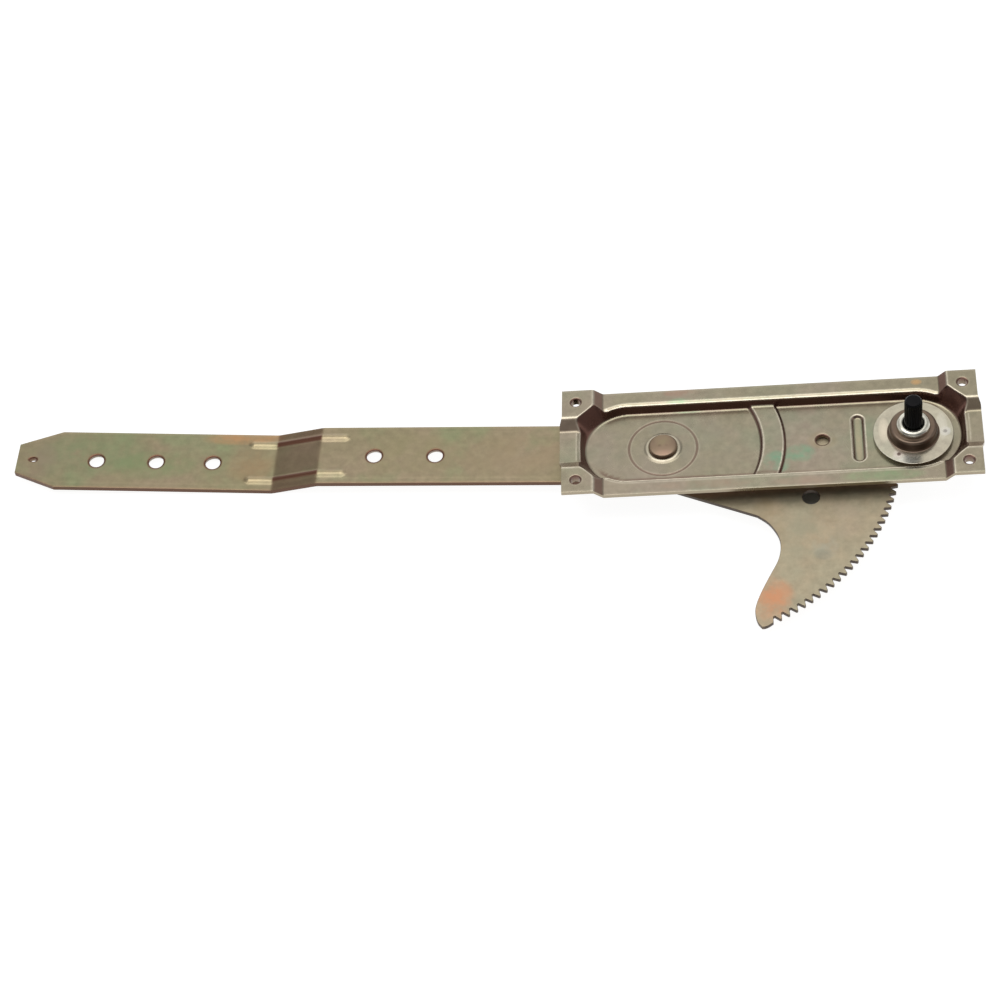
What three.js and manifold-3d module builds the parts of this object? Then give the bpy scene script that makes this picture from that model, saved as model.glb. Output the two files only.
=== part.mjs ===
// A hand-crank window lifter for a vehicle door, lying on its back. A stamped housing plate
// carries a crank shaft with a wrap-spring brake. The brake turns a ten-tooth pinion, and the
// pinion swings a toothed sector with the long lift arm riveted to it.
// Millimetres. X runs along the plate from the arm to the crank shaft, Y across it and Z up
// along the shaft. The pieces are made round the arm's pivot axis, with Z = 0 at the top of
// the recessed panel. At the end the whole is moved to stand on Z = 0, centred on the origin.

import * as THREE from "three";
import { mergeVertices } from "three/addons/utils/BufferGeometryUtils.js";
import Module from "manifold-3d";

// ---------------------------------------------------------------- driving dimensions
// Layout
const pivotToCrank = 115;
const armHeading = 176.67; // degrees from +X to the arm at rest
const seatGap = 0.1; // between fitted or stacked pieces
const runGap = 0.3; // between pieces that turn against each other

// Housing plate
const sheet = 2;
const plateWidth = 59.5;
const plateBehindPivot = 46.4;
const plateCornerRadius = 1.5;
const stripHeight = 5.3; // side strips above the panel
const earRise = 3.7; // ears above the strips
const earLengthArmSide = 14.5;
const earLengthCrankSide = 12.7;
const earWidth = 14.9;
const earCornerRadius = 7;
const earSlopeRun = 4.9;
const earHoleDiameter = 5; // tapping size of an M6 thread
const earHoleFromEnd = 6.5;
const earHoleFromSide = 7.05;
const earCollarWall = 1.4;
const earCollarDepth = 3;
const stripWidth = 9.95; // from the plate's long edge to the floor of the pan
const pocketFromArmEnd = 10.4;
const pocketFromCrankEnd = 8.6;
const pocketBeyondFlange = 3.4; // past the brake's flange at the crank end
const pocketWallSlope = 0.566; // sideways run for each unit of height
const ringRadius = 15.9;
const ringWidth = 0.8;
const ringDepth = 0.3;
const dimpleMargin = 1.6; // round the pivot pin's head
const dimpleDepth = 0.6;
const lockHoleRadius = 3;
const lockHoleReach = 73.5; // from the pivot, the same in the plate and in the sector
const ribFromFlange = 6.7;
const ribLength = 25;
const ribFloorWidth = 3.4;
const ribWallRun = 1.8;
const ribDepth = 1.2;
const ribStandOut = 0.3; // below the underside of the panel
const tongueStandOut = 1.2; // of the plate's ends between the ears

// Sector and the rivets that join it to the arm
const sectorGap = 0.7; // panel to sector
const sectorSheet = 2;
const sectorTeeth = 163; // on a full circle
const sectorGapsBelow = 29; // tooth gaps from the crank side of centre down to the tip
const sectorGapsAbove = 6; // tooth gaps on the other side of the centre line
const sectorHubRadius = 19.6;
const sectorHoleRadius = 4;
const sectorHoleAngle = -24.6;
const sectorEndMargin = 0.7; // of one pitch, past the last tooth
// The sector's horn from the waist to the tip: degrees from the first tooth, and depth inside
// the tooth tips.
const hornWaist = [21.34, 51.9];
const hornCorner = [-1.8, -1];
const hornEdge = [
  [21.46, 44.9], [19.47, 37.1], [16.46, 31.7], [12.48, 27.2], [7.24, 22.9],
  [2.54, 17.9], [-0.82, 12.8], [-2.41, 8.6], [-3.07, 3.6], [-2.7, 0.1],
];
const rivetReach = 51;
const rivetFromArmEdge = 4.33;
const rivetShankRadius = 2.9;
const rivetHeadRadius = 4;
const rivetHeadHeight = 1.3;
const rivetHeadFlatRadius = 2.4;
const rivetHeadRimHeight = 0.65;
const bandRise = 1.5; // the panel's raised band that the rivet heads pass under
const bandWall = 1;
const bandHeadroom = 0.5;

// Gear teeth
const pinionTeeth = 10;
const pressureAngle = 25;
const addendum = 1.25;
const rootGap = 0.3;
const backlash = 0.2;
const toothPhase = -0.24; // of one pitch, where a sector tooth stands past the centre line

// Lift arm
const armSheet = 2.5;
const armWidth = 33;
const armOffset = -0.7; // of its middle from the line of its holes
const armBeyondRivets = 6;
const armJoggleStart = 164;
const armJoggleRun = 21;
const armJoggleDrop = 5.6;
const armOuterLength = 125; // beyond the joggle
const armOuterRise = 0.0358; // rise of the outer stretch for each unit of length
const armTaperLength = 20;
const armTipWidth = 17;
const armBoltHoleRadius = 3.75;
const armInnerHoles = [56.6, 27.5]; // before the joggle
const armOuterHoles = [30, 57.4, 86.3]; // beyond the joggle
const armTipHoleRadius = 1.6;
const armTipHoleFromEnd = 7.6;
const beadSpacing = 21;
const beadWidth = 3.6;
const beadHeight = 1;
const beadOverlap = 13.5; // how far each bead runs past the joggle

// Pivot
const pivotShankRadius = 5;
const pivotHeadRadius = 6.7;
const pivotHeadHeight = 2.8;
const pivotHeadChamferRun = 1.3;
const pivotHeadChamferDrop = 0.85;
const pivotBackHeadRadius = 10;
const pivotBushWall = 1.7;
const frontWasherRadius = 14;
const backWasherRadius = 12;
const backWasherThickness = 1.5;

// Brake and crank shaft
const shaftRadius = 4.1;
const shaftStandOut = 15.6; // above the bush
const splineLength = 12.8;
const splineCount = 24;
const splineDepth = 0.35;
const shaftChamfer = 0.8;
const spindleRadius = 3;
const spindleBeyondRing = 0.8;
const drumRadius = 9.5;
const drumWall = 1.75;
const flangeMargin = 1.5; // inside the pocket's wall
const flangeThickness = 2.2;
const bossTaper = 0.5;
const roofThickness = 1.6;
const bushClearance = 0.45; // round the shaft
const bushWall = 1.45;
const bushCollarWidth = 1.5;
const bushHeight = 2.6;
const bushChamferRun = 1;
const bushChamferDrop = 0.8;
const springWire = 1.3;
const springTurns = 2.5;
const springPitch = 1.44;
const springTangDepth = 1.6; // of its ends inside the claws
const clawGap = 1; // between the claws and the inside of the spring
const clawHalfAngle = 70;
const clawBase = 1.4;
const driverDiscMargin = 0.9; // inside the drum
const driverDiscThickness = 0.7;
const driverWasherThickness = 0.5;
const pinionOverhang = 0.4; // pinion teeth past each face of the sector
const pinionFlangeMargin = 2.1; // past the tips of the pinion's teeth
const pinionFlangeThickness = 1;
const pinionWasherRadius = 7;
const pinionWasherThickness = 0.6;
const retainingRingThickness = 1;
const retainingRingStandOut = 1.9; // past the spindle
const retainingGrooveDepth = 0.6;
const retainingRingOpening = 70; // degrees

// Bracket that carries the lower end of the crank shaft
const bracketSheet = 2;
const bracketFromCrank = 3.2; // near edge of its legs beyond the shaft
const bracketWidth = 11;
const bracketFootLength = 3;
const bracketEyeRadius = 9;

// ---------------------------------------------------------------- worked out from them
const degree = Math.PI / 180;
const earTop = stripHeight + earRise;
const sectorTop = -sheet - sectorGap;
const sectorBottom = sectorTop - sectorSheet;
const armTop = sectorBottom;
const armBottom = armTop - armSheet;
const lowest = armTop - armJoggleDrop - armSheet;
const armBehindPivot = rivetReach + armBeyondRivets;
const armJoggleEnd = armJoggleStart + armJoggleRun;
const armReach = armJoggleEnd + armOuterLength;
const armTaperStart = armReach - armTaperLength;
const armBoltHoles = [
  ...armInnerHoles.map((distance) => armJoggleStart - distance),
  ...armOuterHoles.map((distance) => armJoggleEnd + distance),
];
const gearModule = (2 * pivotToCrank) / (sectorTeeth + pinionTeeth);
const pinionTipRadius = (gearModule * pinionTeeth) / 2 + addendum;
const sectorTipRadius = (gearModule * sectorTeeth) / 2 + addendum;
const pinionRootRadius = pivotToCrank - sectorTipRadius - rootGap;
const sectorRootRadius = pivotToCrank - pinionTipRadius - rootGap;
const pinionTop = sectorTop + pinionOverhang;
const pinionBottom = sectorBottom - pinionOverhang;
const pinionFlangeBottom = pinionBottom - pinionFlangeThickness;
const pinionWasherTop = pinionFlangeBottom - seatGap;
const bracketTop = pinionWasherTop - pinionWasherThickness - seatGap;
const bracketBottom = bracketTop - bracketSheet;
const retainingRingTop = bracketBottom - seatGap;
const retainingRingBottom = retainingRingTop - retainingRingThickness;
const spindleBottom = retainingRingBottom - spindleBeyondRing;
const clawFloor = pinionTop + clawBase;
const shaftShoulder = clawFloor + runGap;
const springBottom = clawFloor + springWire / 2 + seatGap;
const springTop = springBottom + springTurns * springPitch;
const driverDiscBottom = springTop + springWire / 2 + seatGap;
const driverDiscTop = driverDiscBottom + driverDiscThickness;
const roofBottom = driverDiscTop + driverWasherThickness + 2 * seatGap;
const roofTop = roofBottom + roofThickness;
const bushTop = roofTop + bushHeight;
const shaftTop = bushTop + shaftStandOut;
const splineBottom = shaftTop - splineLength;
const bushBoreRadius = shaftRadius + bushClearance;
const bushSpigotRadius = bushBoreRadius + bushWall;
const bushCollarRadius = bushSpigotRadius + bushCollarWidth;
const bossRadius = drumRadius + drumWall;
const driverDiscRadius = drumRadius - driverDiscMargin;
const coilRadius = drumRadius - springWire / 2 - runGap / 2;
const clawInnerRadius = shaftRadius + runGap + seatGap;
const clawOuterRadius = coilRadius - springWire / 2 - clawGap + runGap / 2;
const pinionFlangeRadius = pinionTipRadius + pinionFlangeMargin;
const retainingRingRadius = spindleRadius + retainingRingStandOut;
const rivetSide = armWidth / 2 + armOffset - rivetFromArmEdge;
const rivetSpread = Math.asin(rivetSide / rivetReach) / degree;
const rivetHeadings = [-rivetSpread, 0, rivetSpread].map((turn) => armHeading - 180 + turn);
const pivotBushRadius = pivotShankRadius + runGap + pivotBushWall;
const dimpleRadius = pivotHeadRadius + dimpleMargin;
const pocketRadius = plateWidth / 2 - stripWidth;
const flangeRadius = pocketRadius - flangeMargin;
const plateBeyondCrank = flangeRadius + pocketBeyondFlange + pocketFromCrankEnd;

// ---------------------------------------------------------------- solids
const wasm = await Module();
wasm.setup();

// A closed surface as a solid that can be joined and cut.
function toSolid(geometry) {
  const bare = geometry.clone();
  bare.deleteAttribute("normal");
  bare.deleteAttribute("uv");
  const merged = mergeVertices(bare);
  const corners = merged.index.array;
  const kept = [];
  for (let i = 0; i < corners.length; i += 3) {
    const [a, b, c] = [corners[i], corners[i + 1], corners[i + 2]];
    if (a !== b && b !== c && c !== a) kept.push(a, b, c);
  }
  return new wasm.Manifold(
    new wasm.Mesh({
      numProp: 3,
      vertProperties: merged.attributes.position.array,
      triVerts: new Uint32Array(kept),
    }),
  );
}

function toGeometry(solid) {
  const mesh = solid.getMesh();
  const geometry = new THREE.BufferGeometry();
  geometry.setAttribute("position", new THREE.BufferAttribute(mesh.vertProperties, 3));
  geometry.setIndex(new THREE.BufferAttribute(mesh.triVerts, 1));
  geometry.computeVertexNormals();
  return geometry;
}

// A flat shape given a thickness from one height to another.
function slab(shape, low, high, curveSegments = 24) {
  const settings = { depth: high - low, bevelEnabled: false, curveSegments };
  return toSolid(new THREE.ExtrudeGeometry(shape, settings).translate(0, 0, low));
}

// The same with both ends drawn in: the outline holds at low and at high, and stands out by
// slope for each unit of height over the given rise from each end.
function slopedSlab(shape, low, high, slope, rise, curveSegments = 16) {
  const settings = {
    depth: high - low - 2 * rise,
    bevelThickness: rise,
    bevelSize: rise * slope,
    bevelSegments: 1,
    curveSegments,
  };
  return toSolid(new THREE.ExtrudeGeometry(shape, settings).translate(0, 0, low + rise));
}

function disc(radius, low, high, x = 0, y = 0, sides = 32) {
  const cylinder = new THREE.CylinderGeometry(radius, radius, high - low, sides);
  return toSolid(cylinder.rotateX(Math.PI / 2).translate(x, y, (low + high) / 2));
}

function ring(innerRadius, outerRadius, low, high, sides = 32) {
  const bore = disc(innerRadius, low - 1, high + 1, 0, 0, sides);
  return disc(outerRadius, low, high, 0, 0, sides).subtract(bore);
}

function block(lowCorner, highCorner) {
  const size = highCorner.map((value, axis) => value - lowCorner[axis]);
  const middle = highCorner.map((value, axis) => (value + lowCorner[axis]) / 2);
  return toSolid(new THREE.BoxGeometry(...size).translate(...middle));
}

// A turned piece. The profile is a list of [radius, height] with the material on its left.
function turned(profile, sides = 32) {
  const points = profile.map(([radius, height]) => new THREE.Vector2(radius, height));
  return toSolid(new THREE.LatheGeometry(points, sides).rotateX(Math.PI / 2));
}

function closedProfile(profile) {
  return [...profile, profile[0]];
}

// A stadium outline, with its straight sides along X from the left to the right end.
function stadium(left, right, radius) {
  const shape = new THREE.Shape();
  shape.absarc(right - radius, 0, radius, -Math.PI / 2, Math.PI / 2);
  shape.absarc(left + radius, 0, radius, Math.PI / 2, (3 * Math.PI) / 2);
  return shape;
}

// A slice of a ring between two directions, in degrees.
function ringSlice(innerRadius, outerRadius, from, to) {
  const shape = new THREE.Shape();
  shape.absarc(0, 0, outerRadius, from * degree, to * degree);
  shape.absarc(0, 0, innerRadius, to * degree, from * degree, true);
  return shape;
}

function polar(radius, heading) {
  return [radius * Math.cos(heading * degree), radius * Math.sin(heading * degree)];
}

// ---------------------------------------------------------------- gear teeth
const involute = (angle) => Math.tan(angle) - angle;

// Half of a tooth's angular thickness at a radius, in radians.
function halfTooth(teeth, radius) {
  const pitchRadius = (gearModule * teeth) / 2;
  const thickness = (Math.PI * gearModule - backlash) / 2;
  const baseRadius = pitchRadius * Math.cos(pressureAngle * degree);
  const flankAngle = Math.acos(Math.min(1, baseRadius / radius));
  const widening = involute(pressureAngle * degree) - involute(flankAngle);
  return thickness / (2 * pitchRadius) + widening;
}

// One tooth, from its root on one side over the tip to its root on the other.
function toothPoints(teeth, centre, rootRadius, tipRadius, flankSteps) {
  const rising = [];
  for (let step = 0; step <= flankSteps; step += 1) {
    const radius = rootRadius + ((tipRadius - rootRadius) * step) / flankSteps;
    rising.push([radius, halfTooth(teeth, radius)]);
  }
  const flank = ([radius, half], side) => {
    const heading = centre + side * half;
    return new THREE.Vector2(radius * Math.cos(heading), radius * Math.sin(heading));
  };
  return [
    ...rising.map((point) => flank(point, -1)),
    ...rising.reverse().map((point) => flank(point, 1)),
  ];
}

// ---------------------------------------------------------------- housing plate
function earOutline(alongSide, acrossSide, length, shrink) {
  const end = alongSide > 0 ? pivotToCrank + plateBeyondCrank : -plateBehindPivot;
  const innerX = end - alongSide * (length - shrink);
  const innerY = acrossSide * (plateWidth / 2 - earWidth + shrink);
  const outerX = end + alongSide * plateWidth;
  const outerY = acrossSide * plateWidth;
  const shape = new THREE.Shape();
  shape.moveTo(outerX, outerY);
  shape.lineTo(innerX, outerY);
  shape.lineTo(innerX, innerY + acrossSide * earCornerRadius);
  shape.quadraticCurveTo(innerX, innerY, innerX + alongSide * earCornerRadius, innerY);
  shape.lineTo(outerX, innerY);
  return shape;
}

// Everything under one face of the sheet: the strips, the four ears and the sunk pan.
function pressedForm(drop) {
  const floor = -plateWidth;
  const spread = (slope) => drop * (Math.hypot(1, slope) - slope);
  const earSlope = earSlopeRun / earRise;
  const left = -plateBehindPivot;
  const right = pivotToCrank + plateBeyondCrank;
  let form = block(
    [left - plateWidth, -plateWidth, floor - drop],
    [right + plateWidth, plateWidth, stripHeight - drop],
  );
  for (const alongSide of [-1, 1]) {
    for (const acrossSide of [-1, 1]) {
      const length = alongSide > 0 ? earLengthCrankSide : earLengthArmSide;
      const outline = earOutline(alongSide, acrossSide, length, spread(earSlope));
      form = form.add(slopedSlab(outline, floor, earTop - drop, earSlope, earRise, 5));
    }
  }
  const grown = spread(pocketWallSlope);
  const pan = stadium(
    left + pocketFromArmEnd - grown,
    right - pocketFromCrankEnd + grown,
    pocketRadius + grown,
  );
  return form.subtract(slopedSlab(pan, -drop, 3 * plateWidth, pocketWallSlope, 2 * earTop));
}

function plateOutline() {
  const left = -plateBehindPivot;
  const right = pivotToCrank + plateBeyondCrank;
  const half = plateWidth / 2;
  const r = plateCornerRadius;
  const earInner = half - earWidth;
  const tongueHalf = earInner - earSlopeRun;
  const shape = new THREE.Shape();
  shape.absarc(right - r, half - r, r, 0, Math.PI / 2);
  shape.absarc(left + r, half - r, r, Math.PI / 2, Math.PI);
  shape.lineTo(left, earInner);
  shape.lineTo(left - tongueStandOut, tongueHalf);
  shape.lineTo(left - tongueStandOut, -tongueHalf);
  shape.lineTo(left, -earInner);
  shape.absarc(left + r, r - half, r, Math.PI, (3 * Math.PI) / 2);
  shape.absarc(right - r, r - half, r, (3 * Math.PI) / 2, 2 * Math.PI);
  shape.lineTo(right, -earInner);
  shape.lineTo(right + tongueStandOut, -tongueHalf);
  shape.lineTo(right + tongueStandOut, tongueHalf);
  shape.lineTo(right, earInner);
  return shape;
}

function earHoleCentres() {
  const left = -plateBehindPivot + earHoleFromEnd;
  const right = pivotToCrank + plateBeyondCrank - earHoleFromEnd;
  const half = plateWidth / 2 - earHoleFromSide;
  return [[left, half], [left, -half], [right, half], [right, -half]];
}

function ribOutline(width) {
  const shape = new THREE.Shape();
  const r = width / 2;
  const half = (ribLength + width - ribFloorWidth) / 2 - r;
  const x = pivotToCrank - flangeRadius - ribFromFlange;
  shape.absarc(x, half, r, 0, Math.PI);
  shape.absarc(x, -half, r, Math.PI, 2 * Math.PI);
  return shape;
}

function housingPlate() {
  const above = earTop + 1;
  let plate = pressedForm(0).subtract(pressedForm(sheet));
  plate = plate.intersect(slab(plateOutline(), -plateWidth / 2, above, 4));

  // The raised band and the groove under it, through which the sector's rivet heads pass.
  const bandHalf = rivetHeadRadius + bandHeadroom;
  const acrossPan = pocketRadius + bandWall;
  const bandLength = rivetReach + rivetHeadRadius + plateWidth;
  const band = ring(
    rivetReach - bandHalf - bandWall,
    rivetReach + bandHalf + bandWall,
    bandRise - sheet,
    bandRise,
    96,
  );
  const groove = ring(
    rivetReach - bandHalf,
    rivetReach + bandHalf,
    -2 * sheet,
    bandRise - sheet,
    96,
  );
  const crankSide = block([0, -plateWidth, -above], [bandLength, plateWidth, above]);
  const crankSideOfPan = block([0, -acrossPan, -sheet], [bandLength, acrossPan, above]);
  plate = plate.add(band.intersect(crankSideOfPan));
  plate = plate.subtract(groove.intersect(crankSide));

  // The sunk rib that the sector rubs on beside the pinion.
  const ribSlope = ribWallRun / ribDepth;
  const ribTopWidth = ribFloorWidth + 2 * ribWallRun;
  plate = plate.add(slab(ribOutline(ribTopWidth), -sheet - ribStandOut, -sheet / 2, 8));
  plate = plate.subtract(slopedSlab(ribOutline(ribFloorWidth), -ribDepth, above, ribSlope, ribDepth, 8));

  // Collars drawn down under the ears for the fixing threads.
  for (const [x, y] of earHoleCentres()) {
    const underside = earTop - sheet;
    const collar = earHoleDiameter / 2 + earCollarWall;
    plate = plate.add(disc(collar, underside - earCollarDepth, earTop - sheet / 2, x, y, 20));
    plate = plate.subtract(disc(earHoleDiameter / 2, 0, above, x, y, 20));
  }

  const ringHalf = ringWidth / 2;
  plate = plate.subtract(ring(ringRadius - ringHalf, ringRadius + ringHalf, -ringDepth, above));
  plate = plate.subtract(disc(dimpleRadius, -dimpleDepth, above, 0, 0));
  plate = plate.subtract(disc(pivotShankRadius + seatGap, -above, above, 0, 0));
  plate = plate.subtract(disc(lockHoleRadius, -above, above, lockHoleReach, 0, 24));
  return plate.subtract(disc(drumRadius, -above, above, pivotToCrank, 0, 40));
}

// ---------------------------------------------------------------- sector gear
// Where a straight edge that runs to a point leaves the hub circle.
function hubTangent(point, side) {
  const reach = Math.hypot(point[0], point[1]);
  const swing = Math.acos(sectorHubRadius / reach) / degree;
  return Math.atan2(point[1], point[0]) / degree + side * swing;
}

function sectorOutline() {
  const pitch = 360 / sectorTeeth;
  const firstTooth = toothPhase - sectorGapsBelow;
  const lastTooth = toothPhase + sectorGapsAbove;
  const upperEnd = polar(sectorRootRadius, (lastTooth + sectorEndMargin) * pitch);
  const hornPoint = ([turn, depth]) => polar(sectorTipRadius - depth, firstTooth * pitch + turn);
  const waist = hornPoint(hornWaist);
  const lowerHub = hubTangent(waist, -1);
  const upperHub = hubTangent(upperEnd, 1);

  const shape = new THREE.Shape();
  shape.moveTo(...polar(sectorHubRadius, lowerHub));
  shape.lineTo(...waist);
  shape.splineThru(hornEdge.map((point) => new THREE.Vector2(...hornPoint(point))));
  shape.quadraticCurveTo(
    ...hornPoint(hornCorner),
    ...polar(sectorTipRadius, firstTooth * pitch),
  );
  const outline = shape.getPoints(4);
  for (let tooth = 0; tooth <= sectorGapsBelow + sectorGapsAbove; tooth += 1) {
    const centre = (firstTooth + tooth) * pitch * degree;
    const points = toothPoints(sectorTeeth, centre, sectorRootRadius, sectorTipRadius, 2);
    outline.push(...(tooth === 0 ? points.slice(3) : points));
  }
  outline.push(new THREE.Vector2(...upperEnd));
  const hubSteps = 16;
  for (let step = 0; step < hubSteps; step += 1) {
    const heading = upperHub + ((lowerHub + 360 - upperHub) * step) / hubSteps;
    outline.push(new THREE.Vector2(...polar(sectorHubRadius, heading)));
  }
  return new THREE.Shape(outline);
}

function sectorGear() {
  let sector = slab(sectorOutline(), sectorBottom, sectorTop);
  sector = sector.subtract(disc(pivotBushRadius + seatGap, armBottom, 0, 0, 0));
  const [holeX, holeY] = polar(lockHoleReach, sectorHoleAngle);
  sector = sector.subtract(disc(sectorHoleRadius, armBottom, 0, holeX, holeY, 24));
  for (const heading of rivetHeadings) {
    const [x, y] = polar(rivetReach, heading);
    sector = sector.subtract(disc(rivetShankRadius + seatGap, armBottom, 0, x, y, 20));
  }
  return sector;
}

// ---------------------------------------------------------------- lift arm
// The arm is made along +X from the pivot and turned to its heading afterwards.
function armTopHeight(reach) {
  if (reach <= armJoggleStart) return armTop;
  const fallen = armTop - armJoggleDrop;
  if (reach >= armJoggleEnd) return fallen + (reach - armJoggleEnd) * armOuterRise;
  const share = (reach - armJoggleStart) / (armJoggleEnd - armJoggleStart);
  return armTop - armJoggleDrop * share;
}

// A strip of sheet that follows the arm's side view between two reaches.
function armStrip(from, to, width, thickness, lift) {
  const bends = [from, armJoggleStart, armJoggleEnd, to];
  const upper = bends.map((reach) => new THREE.Vector2(reach, armTopHeight(reach) + lift));
  const lower = upper.map((point) => new THREE.Vector2(point.x, point.y - thickness)).reverse();
  const settings = { depth: width, bevelEnabled: false };
  const strip = new THREE.ExtrudeGeometry(new THREE.Shape([...upper, ...lower]), settings);
  return toSolid(strip.rotateX(Math.PI / 2).translate(0, width / 2, 0));
}

function armOutline() {
  const half = armWidth / 2;
  const tipHalf = armTipWidth / 2;
  const shape = new THREE.Shape();
  const corner = Math.asin(half / armBehindPivot);
  shape.absarc(0, armOffset, armBehindPivot, Math.PI - corner, Math.PI + corner);
  shape.lineTo(armTaperStart, armOffset - half);
  shape.lineTo(armReach, armOffset - tipHalf);
  shape.lineTo(armReach, armOffset + tipHalf);
  shape.lineTo(armTaperStart, armOffset + half);
  return shape;
}

function liftArm() {
  const depth = 2 * lowest;
  let arm = armStrip(-armBehindPivot, armReach, 2 * armWidth, armSheet, 0);
  arm = arm.intersect(slab(armOutline(), depth, 0, 8));
  for (const side of [-1, 1]) {
    const bead = armStrip(
      armJoggleStart - beadOverlap,
      armJoggleEnd + beadOverlap,
      beadWidth,
      beadHeight + armSheet / 2,
      beadHeight,
    );
    arm = arm.add(bead.translate([0, armOffset + (side * beadSpacing) / 2, 0]));
  }
  for (const reach of armBoltHoles) {
    arm = arm.subtract(disc(armBoltHoleRadius, depth, 0, reach, 0, 24));
  }
  arm = arm.subtract(disc(armTipHoleRadius, depth, 0, armReach - armTipHoleFromEnd, 0, 12));
  arm = arm.subtract(disc(pivotBushRadius + seatGap, depth, 0, 0, 0));
  for (const heading of rivetHeadings) {
    const [x, y] = polar(rivetReach, heading - armHeading);
    arm = arm.subtract(disc(rivetShankRadius + seatGap, depth, 0, x, y, 20));
  }
  return arm;
}

// A rivet through the sector and the arm, with a low domed head on each side.
function sectorRivet() {
  return turned([
    [0, armBottom - rivetHeadHeight],
    [rivetHeadFlatRadius, armBottom - rivetHeadHeight],
    [rivetHeadRadius, armBottom - rivetHeadRimHeight],
    [rivetHeadRadius, armBottom],
    [rivetShankRadius, armBottom],
    [rivetShankRadius, sectorTop],
    [rivetHeadRadius, sectorTop],
    [rivetHeadRadius, sectorTop + rivetHeadRimHeight],
    [rivetHeadFlatRadius, sectorTop + rivetHeadHeight],
    [0, sectorTop + rivetHeadHeight],
  ], 20);
}

// ---------------------------------------------------------------- pivot
// A shouldered pin with a flat head behind the arm, riveted over in the panel's dimple.
function pivotPin() {
  const backHeadTop = armBottom - runGap - backWasherThickness;
  return turned([
    [0, lowest],
    [pivotBackHeadRadius, lowest],
    [pivotBackHeadRadius, backHeadTop],
    [pivotShankRadius, backHeadTop],
    [pivotShankRadius, -dimpleDepth],
    [pivotHeadRadius, -dimpleDepth],
    [pivotHeadRadius, pivotHeadHeight - pivotHeadChamferDrop],
    [pivotHeadRadius - pivotHeadChamferRun, pivotHeadHeight],
    [0, pivotHeadHeight],
  ]);
}

const pivotFrontWasher = () => ring(
  pivotShankRadius + seatGap, frontWasherRadius, sectorTop + runGap, -sheet,
);
const pivotBackWasher = () => ring(
  pivotShankRadius + seatGap, backWasherRadius,
  armBottom - runGap - backWasherThickness, armBottom - runGap,
);
const pivotBush = () => ring(pivotShankRadius + runGap, pivotBushRadius, armBottom, sectorTop);

// ---------------------------------------------------------------- brake and crank
// The pieces on the crank axis are made round the origin and moved to the axis afterwards.
function brakeHousing() {
  const bossTopRadius = bossRadius - bossTaper;
  return turned(closedProfile([
    [drumRadius, 0],
    [flangeRadius, 0],
    [flangeRadius, flangeThickness],
    [bossRadius, flangeThickness],
    [bossTopRadius, roofTop - roofThickness / 2],
    [bossTopRadius - roofThickness / 2, roofTop],
    [bushSpigotRadius + seatGap, roofTop],
    [bushSpigotRadius + seatGap, roofBottom],
    [drumRadius, roofBottom],
  ]), 40);
}

function shaftBush() {
  return turned(closedProfile([
    [bushBoreRadius, roofBottom],
    [bushSpigotRadius, roofBottom],
    [bushSpigotRadius, roofTop],
    [bushCollarRadius, roofTop],
    [bushCollarRadius, bushTop - bushChamferDrop],
    [bushCollarRadius - bushChamferRun, bushTop],
    [bushBoreRadius, bushTop],
  ]));
}

function crankShaft() {
  const grooveRadius = spindleRadius - retainingGrooveDepth;
  const core = turned([
    [0, spindleBottom],
    [grooveRadius, spindleBottom],
    [spindleRadius, spindleBottom + spindleBeyondRing / 2],
    [spindleRadius, retainingRingBottom - seatGap / 2],
    [grooveRadius, retainingRingBottom - seatGap / 2],
    [grooveRadius, retainingRingTop + seatGap / 2],
    [spindleRadius, retainingRingTop + seatGap / 2],
    [spindleRadius, shaftShoulder],
    [shaftRadius, shaftShoulder],
    [shaftRadius, splineBottom],
    [shaftRadius - splineDepth, splineBottom],
    [shaftRadius - splineDepth, shaftTop - shaftChamfer],
    [shaftRadius - shaftChamfer, shaftTop],
    [0, shaftTop],
  ]);
  const splines = [];
  for (let step = 0; step < splineCount; step += 1) {
    const heading = (360 / splineCount) * step;
    const valley = shaftRadius - splineDepth;
    splines.push(polar(valley, heading - 180 / splineCount), polar(shaftRadius, heading));
  }
  const star = new THREE.Shape(splines.map(([x, y]) => new THREE.Vector2(x, y)));
  return core.add(slab(star, splineBottom - seatGap, shaftTop - shaftChamfer));
}

// The half-round claw that pushes the spring's tangs, centred on a heading.
function claw(innerRadius, heading, low, high) {
  const [from, to] = [heading - clawHalfAngle, heading + clawHalfAngle];
  return slab(ringSlice(innerRadius, clawOuterRadius, from, to), low, high, 12);
}

function brakeDriver() {
  const bore = shaftRadius + seatGap;
  const plate = ring(bore, driverDiscRadius, driverDiscBottom, driverDiscTop);
  return plate.add(claw(bore, 90, shaftShoulder, driverDiscBottom + driverDiscThickness / 2));
}

const driverWasher = () => ring(
  bushBoreRadius, driverDiscRadius - runGap,
  driverDiscTop + seatGap, driverDiscTop + seatGap + driverWasherThickness,
);

// The brake spring's centre line: a tang, the coil that grips the drum, and the other tang.
function springCentreLine() {
  const tangReach = clawOuterRadius - springTangDepth;
  const turn = 360 * springTurns;
  const bend = 12;
  const stations = 2 * Math.round(9 * springTurns);
  const point = (radius, heading) => {
    const height = springBottom + (springTop - springBottom) * (heading / turn);
    return new THREE.Vector3(...polar(radius, heading), height);
  };
  const line = [point(tangReach, 0), point(coilRadius - springWire, 0)];
  for (let station = 0; station <= stations; station += 1) {
    line.push(point(coilRadius, bend + ((turn - 2 * bend) * station) / stations));
  }
  line.push(point(coilRadius - springWire, turn), point(tangReach, turn));
  return new THREE.CatmullRomCurve3(line);
}

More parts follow.
